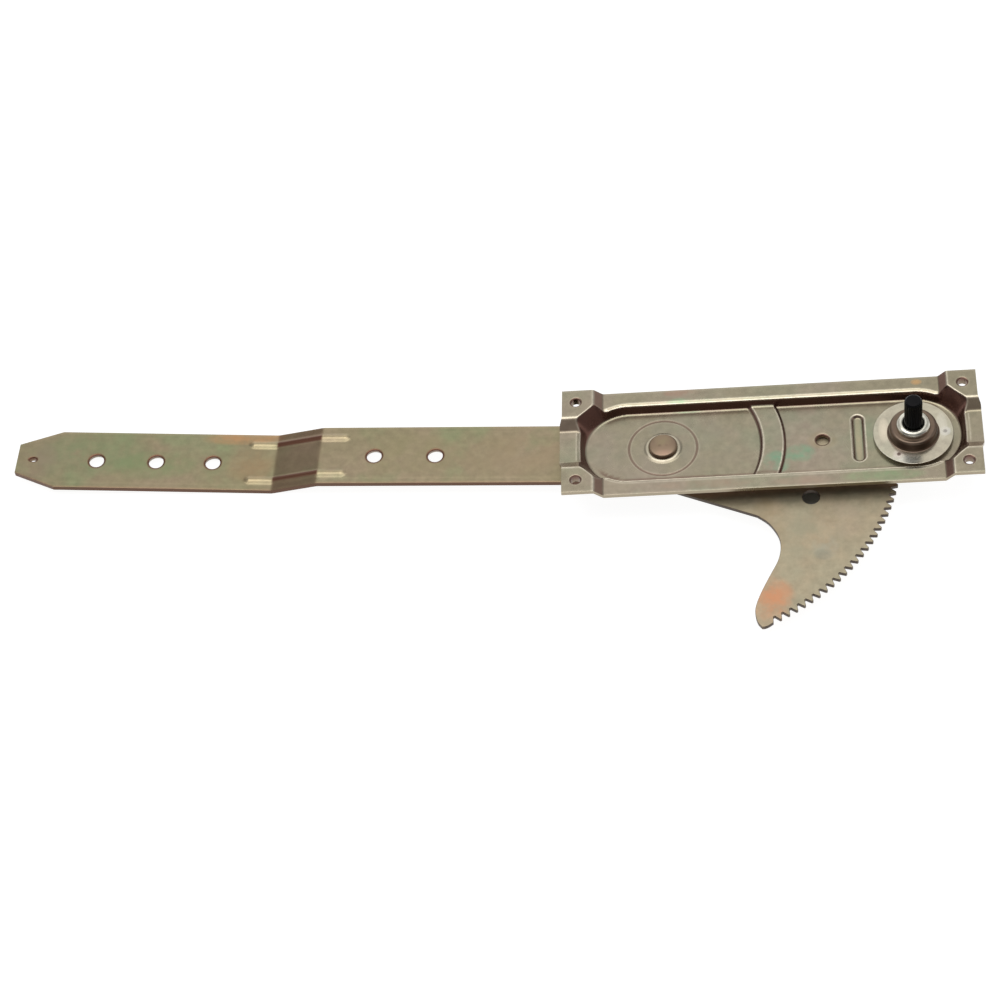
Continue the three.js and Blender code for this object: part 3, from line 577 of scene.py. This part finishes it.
def divide_where_bent(mesh, cell, height, underside, holes):
    """Divides each face in four where either side of the sheet bends, and round its holes."""
    allowed_bend = 0.03
    count = len(mesh.polygons)
    centres = np.zeros(count * 3)
    mesh.polygons.foreach_get("center", centres)
    centres = centres.reshape(-1, 3)
    x, y = centres[:, 0], centres[:, 1]
    bent = np.zeros(count)
    for dx in (-0.5, 0, 0.5):
        for dy in (-0.5, 0, 0.5):
            along, across = bending(height, x + dx * cell, y + dy * cell, cell * 0.5)
            bent = np.maximum(bent, np.maximum(np.abs(along), np.abs(across)))
    for dx, dy in ((-0.3, -0.3), (0.3, -0.3), (-0.3, 0.3), (0.3, 0.3)):
        along, across = bending(underside, x + dx * cell, y + dy * cell, cell * 0.5)
        bent = np.maximum(bent, np.maximum(np.abs(along), np.abs(across)) * 0.4)
    chosen = bent > allowed_bend
    for hole_x, hole_y, radius in holes:
        chosen |= np.abs(np.hypot(x - hole_x, y - hole_y) - radius) < cell
    bpy.ops.object.mode_set(mode="EDIT")
    bpy.ops.mesh.select_mode(type="FACE")
    bpy.ops.mesh.select_all(action="DESELECT")
    bpy.ops.object.mode_set(mode="OBJECT")
    mesh.polygons.foreach_set("select", chosen)
    bpy.ops.object.mode_set(mode="EDIT")
    bpy.ops.mesh.subdivide(number_cuts=1)
    bpy.ops.object.mode_set(mode="OBJECT")


def punch_holes(mesh, holes, cell):
    """Takes out the faces inside each hole and draws the rim that is left to a circle."""
    work = bmesh.new()
    work.from_mesh(mesh)
    for x, y, radius in holes:
        inside = [
            face for face in work.faces if apart(face.calc_center_median(), x, y) < radius
        ]
        bmesh.ops.delete(work, geom=inside, context="FACES")
        for vertex in work.verts:
            reach = apart(vertex.co, x, y)
            if vertex.is_boundary and reach < radius + 2 * cell:
                vertex.co.x = x + (vertex.co.x - x) * radius / reach
                vertex.co.y = y + (vertex.co.y - y) * radius / reach
    work.to_mesh(mesh)
    work.free()


def pressed_sheet(name, low, high, cells, holes, height, underside, outline, shade_painter):
    """A flat grid, divided again where the sheet bends, with round holes cut, then raised
    to its height and given its thickness. Millimetres round the arm's pivot."""
    bpy.ops.object.select_all(action="DESELECT")
    bpy.ops.mesh.primitive_grid_add(x_subdivisions=cells[0], y_subdivisions=cells[1], size=2)
    piece = bpy.context.object
    piece.name = name
    mesh = piece.data
    points = coordinates(mesh)
    for axis in (0, 1):
        middle, half = (low[axis] + high[axis]) / 2, (high[axis] - low[axis]) / 2
        points[:, axis] = middle + points[:, axis] * half
    mesh.vertices.foreach_set("co", points.ravel())
    cell = (high[0] - low[0]) / cells[0]
    for _ in range(2):
        divide_where_bent(mesh, cell, height, underside, holes)
        cell *= 0.5
    punch_holes(mesh, holes, cell)

    points = coordinates(mesh)
    x, y = points[:, 0].copy(), points[:, 1].copy()
    count = len(x)
    points[:, 2] = height(x, y)
    mesh.vertices.foreach_set("co", points.ravel())
    # Convex bends are marked as worn, and the same mark paints a highlight along them.
    rub_reach = 0.7
    along, across = bending(height, x, y, rub_reach)
    rim = rim_reach(x, y, holes)
    turn = np.clip(-(along + across) / rub_reach**2 * 1.5, 0, 1)
    marked(mesh, "rubbed_and_highlit", turn * rising(rim, 0.6, 1.4))
    wall = piece.modifiers.new("thickness", "SOLIDIFY")
    wall.thickness = 1.0
    wall.offset = -1
    bpy.ops.object.modifier_apply(modifier=wall.name)
    # Painted shade: dark where the shade painter says, round the hole rims, over all of the
    # underside and most on its steep walls.
    above = np.maximum(shade_painter(x, y, steepness(height, x, y)), rising(rim, 0.8, 0.3))
    below = np.clip(steepness(underside, x, y) * 1.5, 0.3, 1)
    marked(mesh, "painted_shade", np.concatenate([above, below]))

    points = coordinates(mesh)
    points[count:, 2] = underside(x, y)
    points[:count, 0], points[:count, 1] = outline(x, y)
    points[count:, :2] = points[:count, :2]
    for hole_x, hole_y, radius in holes:
        if 3.2 < radius < 5:  # a bolt hole, which widens where the punch broke through
            away = np.hypot(x - hole_x, y - hole_y)
            flare = 0.7 * np.exp(-np.maximum(away - radius, 0) / 1.1) / np.maximum(away, 1)
            points[count:, 0] += (x - hole_x) * flare
            points[count:, 1] += (y - hole_y) * flare
    mesh.vertices.foreach_set("co", points.ravel())
    mesh.update()
    cut = []
    for face in mesh.polygons:
        corners = list(face.vertices)
        outer = min(corners) < count <= max(corners) and rim[corners[0] % count] > 0.3
        cut.append(float(outer))
    marked(mesh, "cut", cut, "FACE")
    bpy.ops.object.shade_smooth_by_angle(angle=math.radians(40))
    return piece


def placed(piece, origin, heading=0.0):
    """From millimetres round an axis to metres in the part's frame."""
    shift = Matrix.Translation(Vector((origin.x, origin.y, panel_top)))
    piece.data.transform(shift @ Matrix.Rotation(heading, 4, "Z") @ Matrix.Scale(mm, 4))
    piece.data.update()


def finished(piece, material):
    piece.data.materials.clear()
    piece.data.materials.append(material)


def hand_over(piece, body, material, node):
    """Puts a finished piece on its body, in its finish, in place of its plain solid."""
    finished(piece, material)
    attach(piece, body)
    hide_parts(node)


def plate_outline(x, y):
    """Each end stands out a little as a tongue between its two ears."""
    tongue = 1.2 * rising(np.abs(y), 14.8, 10.0)
    x = x + tongue * rising(x, plate_right - 4, plate_right)
    x = x - tongue * rising(x, plate_left + 4, plate_left)
    return x, y


plate = pressed_sheet(
    "pressed_housing_plate",
    (plate_left, -plate_half),
    (plate_right, plate_half),
    (144, 45),
    plate_holes,
    plate_top,
    plate_underside,
    plate_outline,
    plate_painted_shade,
)
placed(plate, pivot)
hand_over(plate, "housing", plate_zinc, "housing_plate")


# ------------------------------------------------------------------------- lift arm
# A long strip of 2.5 mm steel with rolled margins. It steps down through a joggle that two
# short beads stiffen, and ends in a tapered tip. Bolt holes take the window channel.
arm_half = 16.5
arm_middle = -0.7
arm_back, arm_tip = -57.0, 310.0
taper_start, taper_length, taper_narrows = 290, 20, 8.0
arm_heading = math.radians(176.67)
joggle = (162.6, 185.0)
arm_level = -4.7
joggle_drop = 5.6
bead_line, bead_half, bead_height, bead_overrun = 10.5, 3.0, 0.8, 10.8
arm_holes = [(reach, 0.7, 3.5) for reach in (107.4, 136.5, 215, 242.4, 271.3)]
arm_holes += [(302.4, 0.7, 1.6), (0, 0.7, 7.1)]


def arm_half_width(x):
    return arm_half - taper_narrows * np.clip((x - taper_start) / taper_length, 0, 1)


def arm_level_at(x, bend):
    """The level of the strip's top: flat, down the joggle, then rising a little outwards."""
    flat = np.full_like(x, arm_level)
    ramp = arm_level - joggle_drop * (x - joggle[0]) / (joggle[1] - joggle[0])
    outer = arm_level - joggle_drop + (x - joggle[1]) * 0.0358
    return over_max(under_min(flat, ramp, bend), outer, bend)


def arm_top(x, y):
    inside = arm_half_width(x) * (1 - np.abs(y) / arm_half)
    top = arm_level_at(x, 0.25) - 0.05 * rising(inside, 3.2, 2.4) - 0.1 * rising(inside, 0.5, 0)
    past = np.maximum(joggle[0] - bead_overrun - x, x - joggle[1] - bead_overrun)
    across = np.hypot(np.abs(y) - bead_line, 0.8 * np.maximum(past, 0))
    bead = 0.5 + 0.5 * np.cos(math.pi * np.clip(across / bead_half, 0, 1))
    rim = rim_reach(x, y, arm_holes)
    return top + bead_height * bead - 0.4 * rising(rim, 0.7, -0.1)


def arm_painted_shade(x, y, slope):
    """Painted shade along the beads' lines on the joggle, round the holes and along the near
    margin."""
    on_slope = rising(x, joggle[0] - 0.5, joggle[0] + 0.5)
    on_slope = on_slope * rising(x, joggle[1] + 0.5, joggle[1] - 0.5)
    off_middle = np.abs(y)
    beside = rising(off_middle, 8.2, 9.4) - 0.5 * rising(off_middle, 11.0, 12.2)
    beside = np.maximum(0.3, beside) * on_slope
    inside = arm_half_width(x) * (1 - off_middle / arm_half)
    margin = 0.6 * rising(inside, 1.0, 0.1) * (y > 0)
    rims = 0.9 * rising(rim_reach(x, y, arm_holes), 1.3, 0.6)
    return np.maximum(beside, np.maximum(margin, rims))


def arm_underside(x, y):
    return np.maximum(arm_level_at(x, 0.25) - 2.5, -panel_top / mm)


def arm_outline(x, y):
    """The rear end is round about the pivot, and the tip tapers."""
    end = np.clip((arm_back + 7 - x) / 7, 0, 1)
    x = x + end * (-arm_back - np.sqrt(arm_back**2 - y**2))
    y = y * np.where(x > taper_start, arm_half_width(x) / arm_half, 1.0)
    return x, y + arm_middle


arm_zinc = steel(
    "arm_zinc",
    {
        "Olive": colour(157, 146, 115),
        "Pink": colour(168, 148, 125),
        "Green": colour(142, 154, 114),
        "Pinkness": 0.6,
        "Greenness": 0.6,
    },
    rubbed_and_highlit=colour(194, 177, 141),
    painted_shade=colour(112, 76, 60),
    cut=colour(98, 70, 56),
    metallic=0.85,
    roughness=0.31,
    blooms=(
        (on_part(-275, 20), 34, 16, colour(136, 152, 112), 0.6),
        (on_part(-243, 12), 26, 10, colour(134, 152, 108), 0.6),
        (on_part(-199, 27), 24, 5, colour(204, 152, 104), 0.7),
        (on_part(-196, 10), 14, 12, colour(172, 140, 104), 0.5),
        (on_part(-300, 17), 12, 14, colour(158, 138, 120), 0.6),
        (on_part(-118, 8), 26, 14, colour(158, 150, 112), 0.5),
        (on_part(-70, 4), 30, 14, colour(166, 146, 116), 0.5),
    ),
)
arm = pressed_sheet(
    "joggled_lift_arm",
    (arm_back, -arm_half),
    (arm_tip, arm_half),
    (245, 22),
    arm_holes,
    arm_top,
    arm_underside,
    arm_outline,
    arm_painted_shade,
)
placed(arm, pivot, arm_heading)
hand_over(arm, "lift", arm_zinc, "lift_arm")


# ------------------------------------------------------------------------- gears and clips
# The toothed sector and the bracket are blanked from 2 mm steel, the pinion is cut from bar
# and the ring is stamped spring steel. Each keeps its solid's form, with its edges eased as
# tumbling leaves them. The brake's driver and spring are right as they are.
def eased(node, name, width, body, material, edge="rubbed_and_highlit"):
    """A copy of a solid with its cut edges rounded off."""
    bpy.ops.object.select_all(action="DESELECT")
    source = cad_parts[node]
    piece = bpy.data.objects.new(name, source.data.copy())
    scene.collection.objects.link(piece)
    piece.select_set(True)
    bpy.context.view_layer.objects.active = piece
    bpy.ops.object.mode_set(mode="EDIT")
    bpy.ops.mesh.select_all(action="SELECT")
    bpy.ops.mesh.remove_doubles(threshold=0.000001)
    bpy.ops.mesh.dissolve_limited(angle_limit=math.radians(1))
    bpy.ops.object.mode_set(mode="OBJECT")
    round_off = piece.modifiers.new("eased", "BEVEL")
    round_off.width = width * mm
    round_off.segments = 2
    round_off.limit_method = "ANGLE"
    round_off.angle_limit = math.radians(40)
    bpy.ops.object.modifier_apply(modifier=round_off.name)
    mark_edges(piece, width * mm, edge)
    smoothed(piece)
    hand_over(piece, body, material, node)


def smoothed(piece):
    """Smooth shading, with each flat kept flat to its rounded edge."""
    bpy.ops.object.shade_smooth_by_angle(angle=math.radians(35))
    flats = piece.modifiers.new("flats", "WEIGHTED_NORMAL")
    flats.keep_sharp = True
    bpy.ops.object.modifier_apply(modifier=flats.name)


def mark_edges(piece, width, edge="rubbed_and_highlit"):
    """Marks the narrow faces of rounded edges, and the other upright faces as cut."""
    narrow, cut = [], []
    for face in piece.data.polygons:
        corners = [piece.data.vertices[index].co for index in face.vertices]
        rim = sum((a - b).length for a, b in zip(corners, corners[1:] + corners[:1]))
        # Narrow faces of rounded edges take the edge mark: worn with a painted highlight, or
        # painted shade where that is the mark named.
        narrow.append(0.8 if face.area < 0.7 * width * rim else 0.0)
        cut.append(1.0 if abs(face.normal.z) < 0.5 and not narrow[-1] else 0.0)
    marked(piece.data, edge, narrow, "FACE")
    marked(piece.data, "cut", cut, "FACE")


sector_zinc = steel(
    "sector_zinc",
    {
        "Olive": colour(180, 169, 141),
        "Pink": colour(196, 168, 136),
        "Green": colour(170, 170, 144),
        "Pinkness": 0.4,
        "Greenness": 0.4,
    },
    rubbed_and_highlit=colour(214, 200, 172),
    painted_shade=colour(84, 66, 56),
    # Painted shade: the cut faces are dark, so the tooth gaps read dark.
    cut=colour(62, 46, 42),
    metallic=0.5,
    roughness=0.34,
    blooms=(
        (on_part(47, -86), 12, 14, colour(218, 152, 110), 0.9),
        (on_part(72, -59), 7, 8, colour(184, 182, 166), 0.6),
        (on_part(71, -63), 5, 3.5, colour(128, 126, 112), 0.6),
        (on_part(66, -52), 18, 16, colour(168, 166, 140), 0.5),
        (on_part(46, -48), 10, 22, colour(176, 154, 118), 0.6),
        (on_part(80, -44), 12, 12, colour(186, 168, 146), 0.5),
    ),
)
# The sector's rounded edges take painted shade, a dark outline all round.
eased("sector_gear", "toothed_sector", 0.45, "lift", sector_zinc, "painted_shade")
eased("pinion_bracket", "bent_pinion_bracket", 0.3, "housing", plate_zinc)

hard_steel = steel(
    "hard_steel",
    {
        "Olive": colour(118, 116, 112),
        "Pink": colour(104, 98, 92),
        "Green": colour(130, 130, 128),
        "Pinkness": 0.6,
        "Greenness": 0.4,
    },
    rubbed_and_highlit=colour(190, 188, 182),
    painted_shade=colour(60, 56, 52),
    cut=colour(96, 92, 88),
    metallic=0.9,
    roughness=0.34,
)
eased("pinion", "cut_pinion", 0.15, "crank", hard_steel)
eased("retaining_ring", "snap_ring", 0.12, "crank", hard_steel)
for node in ("brake_driver", "brake_spring"):
    finished(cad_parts[node], hard_steel)


# ------------------------------------------------------------------------- turned pieces
# Rivets, washers and bushes are turned or drawn from bar and strip. Each is made from a
# ring that is drawn out and scaled from one shoulder to the next.
crank = sum(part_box("crank_shaft"), Vector()) / 2


def turned(name, profile, origin, sides=72, round_off=0.0):
    """A turned piece from [radius, height] pairs in millimetres above the panel. A profile
    that starts and ends on the axis is solid, and any other is closed on itself."""
    bpy.ops.object.select_all(action="DESELECT")
    hollow = profile[0][0] > 0
    stations = profile + [profile[0]] if hollow else profile
    on_axis, closed_within = 0.001, 0.004
    radius, height = max(stations[0][0], on_axis), stations[0][1]
    bpy.ops.mesh.primitive_circle_add(vertices=sides, radius=radius, location=(0, 0, height))
    piece = bpy.context.object
    piece.name = name
    bpy.ops.object.mode_set(mode="EDIT")
    bpy.ops.mesh.select_mode(type="VERT")
    for next_radius, next_height in stations[1:]:
        next_radius = max(next_radius, on_axis)
        bpy.ops.mesh.extrude_region_move(
            TRANSFORM_OT_translate={"value": (0, 0, next_height - height)}
        )
        scale = next_radius / radius
        bpy.ops.transform.resize(value=(scale, scale, 1), center_override=(0, 0, next_height))
        radius, height = next_radius, next_height
    bpy.ops.mesh.select_all(action="SELECT")
    bpy.ops.mesh.remove_doubles(threshold=closed_within)
    bpy.ops.mesh.normals_make_consistent(inside=False)
    bpy.ops.object.mode_set(mode="OBJECT")
    bpy.ops.object.transform_apply(location=True)
    if round_off:
        soft = piece.modifiers.new("rounded", "BEVEL")
        soft.width = round_off
        soft.segments = 3
        soft.limit_method = "ANGLE"
        soft.angle_limit = math.radians(20)
        bpy.ops.object.modifier_apply(modifier=soft.name)
    mark_edges(piece, round_off)
    smoothed(piece)
    placed(piece, origin)
    return piece


pin_zinc = steel(
    "pin_zinc",
    {
        "Olive": colour(138, 121, 97),
        "Pink": colour(146, 119, 104),
        "Green": colour(132, 126, 100),
        "Pinkness": 0.8,
        "Greenness": 0.5,
    },
    rubbed_and_highlit=colour(150, 128, 108),
    painted_shade=colour(96, 70, 58),
    cut=colour(104, 76, 64),
    metallic=0.85,
    roughness=0.36,
    bump=0.00005,
    blooms=(
        # The lighter olive patch on the head's far half is a painted highlight of its domed
        # top. A pinker patch lies on its near half, and the two dark dots are peen marks.
        (on_part(0, 2.5), 4.5, 4.5, colour(166, 156, 118), 0.75),
        (on_part(0.5, -4.5), 4.5, 2.0, colour(168, 132, 118), 0.6),
        (on_part(-1.4, -0.5), 1.0, 1.0, colour(92, 74, 60), 0.7),
        (on_part(1.7, -0.5), 1.0, 1.0, colour(92, 74, 60), 0.6),
    ),
)
pin = turned(
    "pivot_rivet",
    [
        (0, -12.8),
        (10, -12.8),
        (10, -9.0),
        (5, -9.0),
        (5, -0.6),
        (6.7, -0.6),
        (6.7, 1.6),
        (6.3, 2.2),
        (5.2, 2.5),
        (3.0, 2.72),
        (0, 2.8),
    ],
    pivot,
    round_off=0.3,
)
hand_over(pin, "housing", pin_zinc, "pivot_pin")

bright_steel = steel(
    "polished_steel",
    {
        "Olive": colour(196, 194, 180),
        "Pink": colour(186, 180, 168),
        "Green": colour(200, 200, 190),
        "Pinkness": 0.5,
        "Greenness": 0.3,
    },
    rubbed_and_highlit=colour(244, 240, 226),
    painted_shade=colour(96, 88, 78),
    cut=colour(170, 164, 150),
    metallic=0.95,
    roughness=0.24,
)
for node, heights, radii, body in (
    ("pivot_front_washer", (-2.4, -2.0), (5.1, 14.0), "housing"),
    ("pivot_back_washer", (-9.0, -7.5), (5.1, 12.0), "housing"),
    ("pinion_washer", (-6.8, -6.2), (3.3, 7.0), "crank"),
):
    washer = turned(
        node.replace("washer", "thrust_washer"),
        [
            (radii[0], heights[0]),
            (radii[1], heights[0]),
            (radii[1], heights[1]),
            (radii[0], heights[1]),
        ],
        pivot if body == "housing" else crank,
        round_off=0.08,
    )
    hand_over(washer, body, bright_steel, node)
finished(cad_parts["driver_washer"], bright_steel)

bush_bronze = steel(
    "bush_bronze",
    {
        "Olive": colour(176, 140, 84),
        "Pink": colour(160, 120, 76),
        "Green": colour(184, 152, 96),
        "Pinkness": 0.5,
        "Greenness": 0.3,
    },
    rubbed_and_highlit=colour(220, 190, 130),
    painted_shade=colour(90, 66, 44),
    cut=colour(150, 116, 70),
    metallic=0.9,
    roughness=0.38,
)
bush = turned(
    "bronze_pivot_bush",
    [(5.3, -7.2), (7.0, -7.2), (7.0, -2.7), (5.3, -2.7)],
    pivot,
    round_off=0.15,
)
hand_over(bush, "lift", bush_bronze, "pivot_bush")

for index in (1, 2, 3):
    node = f"sector_rivet_{index}"
    low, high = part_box(node)
    rivet = turned(
        f"domed_rivet_{index}",
        [
            (0, -8.5),
            (2.2, -8.4),
            (3.5, -8.0),
            (4.0, -7.4),
            (4.0, -7.2),
            (2.9, -7.2),
            (2.9, -2.7),
            (4.0, -2.7),
            (4.0, -2.4),
            (3.5, -1.8),
            (2.2, -1.45),
            (0, -1.4),
        ],
        (low + high) / 2,
        sides=40,
        round_off=0.15,
    )
    hand_over(rivet, "lift", pin_zinc, node)


# ------------------------------------------------------------------------- brake and crank
# A brown phosphated drum cover is welded to the pan over the wrap-spring brake. A bright
# bush in its roof guides the blackened crank shaft, which ends in splines for the handle.
brown_steel = steel(
    "phosphated_brown",
    {
        "Olive": colour(124, 106, 90),
        "Pink": colour(110, 86, 76),
        "Green": colour(134, 122, 104),
        "Pinkness": 0.9,
        "Greenness": 0.4,
    },
    rubbed_and_highlit=colour(118, 102, 88),
    painted_shade=colour(60, 44, 38),
    cut=colour(90, 72, 62),
    metallic=0.85,
    roughness=0.3,
)
flange_zinc = steel(
    "flange_zinc",
    {
        "Olive": colour(208, 200, 178),
        "Pink": colour(204, 190, 170),
        "Green": colour(198, 202, 178),
        "Pinkness": 0.6,
        "Greenness": 0.5,
    },
    rubbed_and_highlit=colour(216, 210, 192),
    painted_shade=colour(84, 72, 60),
    cut=colour(110, 106, 90),
    metallic=0.88,
    roughness=0.2,
    blooms=(
        # Painted highlights: the near-white patch in front of the boss and the cream crescents
        # left and right of it. The small dark dots in light rings are weld marks.
        (on_part(115 - 4, -15), 8, 4, colour(255, 252, 240), 0.9),
        (on_part(115 + 14.4, -0.2), 3.2, 3.2, colour(238, 234, 226), 0.8),
        (on_part(115 - 7.3, -12.2), 3.2, 3.2, colour(236, 224, 210), 0.8),
        (on_part(115 + 14.4, -0.2), 1.3, 1.3, colour(84, 80, 88), 1.0),
        (on_part(115 - 7.3, -12.2), 1.2, 1.2, colour(104, 80, 74), 1.0),
        (on_part(115 - 13.2, 2), 3.0, 8, colour(246, 232, 208), 0.8),
        (on_part(115 + 13.2, 3), 3.0, 9, colour(242, 236, 218), 0.6),
    ),
)
cover = turned(
    "drawn_brake_cover",
    [
        (9.5, 0),
        (18.3, 0),
        (18.3, 2.2),
        (11.8, 2.2),
        (11.35, 2.5),
        (11.2, 3.2),
        (10.9, 6.2),
        (10.5, 6.9),
        (9.8, 7.2),
        (6.1, 7.2),
        (6.1, 5.6),
        (9.5, 5.6),
    ],
    crank,
    sides=120,
    round_off=0.25,
)
hand_over(cover, "housing", brown_steel, "brake_housing")
flange_inner = 12.0 * mm
cover.data.materials.append(flange_zinc)
for face in cover.data.polygons:
    face.material_index = int(apart(face.center, crank.x, crank.y) > flange_inner)

collar = turned(
    "shaft_guide_bush",
    [
        (4.55, 5.6),
        (6.0, 5.6),
        (6.0, 7.2),
        (7.8, 7.2),
        (7.85, 8.0),
        (7.6, 8.8),
        (7.0, 9.4),
        (6.2, 9.75),
        (5.4, 9.8),
        (4.8, 9.5),
        (4.55, 9.0),
    ],
    crank,
    sides=96,
    round_off=0.18,
)
hand_over(collar, "housing", bright_steel, "shaft_bush")

black_steel = steel(
    "blackened_steel",
    {
        "Olive": colour(18, 17, 19),
        "Pink": colour(28, 24, 24),
        "Green": colour(14, 15, 17),
        "Pinkness": 0.5,
        "Greenness": 0.5,
    },
    rubbed_and_highlit=colour(64, 62, 60),
    painted_shade=colour(12, 12, 13),
    cut=colour(16, 16, 18),
    metallic=0.8,
    roughness=0.36,
)


def splined(piece, low, high, crests, root):
    """Cuts splines between two heights: half of each pitch drops to the root radius."""
    for vertex in piece.data.vertices:
        offset = vertex.co - Vector((crank.x, crank.y, panel_top))
        if low * mm < offset.z < high * mm:
            step = round(math.atan2(offset.y, offset.x) / (2 * math.pi) * 4 * crests) % 4
            if step in (0, 1):
                reach = math.hypot(offset.x, offset.y)
                vertex.co.x = crank.x + offset.x * root * mm / reach
                vertex.co.y = crank.y + offset.y * root * mm / reach
    piece.data.update()


shaft = turned(
    "splined_crank_shaft",
    [
        (0, -10.8),
        (2.6, -10.8),
        (3.0, -10.4),
        (3.0, -10.05),
        (2.4, -10.05),
        (2.4, -8.95),
        (3.0, -8.95),
        (3.0, -0.6),
        (4.1, -0.6),
        (4.1, 12.4),
        (4.1, 12.7),
        (4.1, 24.5),
        (3.35, 25.3),
        (3.1, 25.4),
        (0, 25.4),
    ],
    crank,
    sides=96,
)
splined(shaft, low=12.6, high=24.8, crests=24, root=3.62)
hand_over(shaft, "crank", black_steel, "crank_shaft")
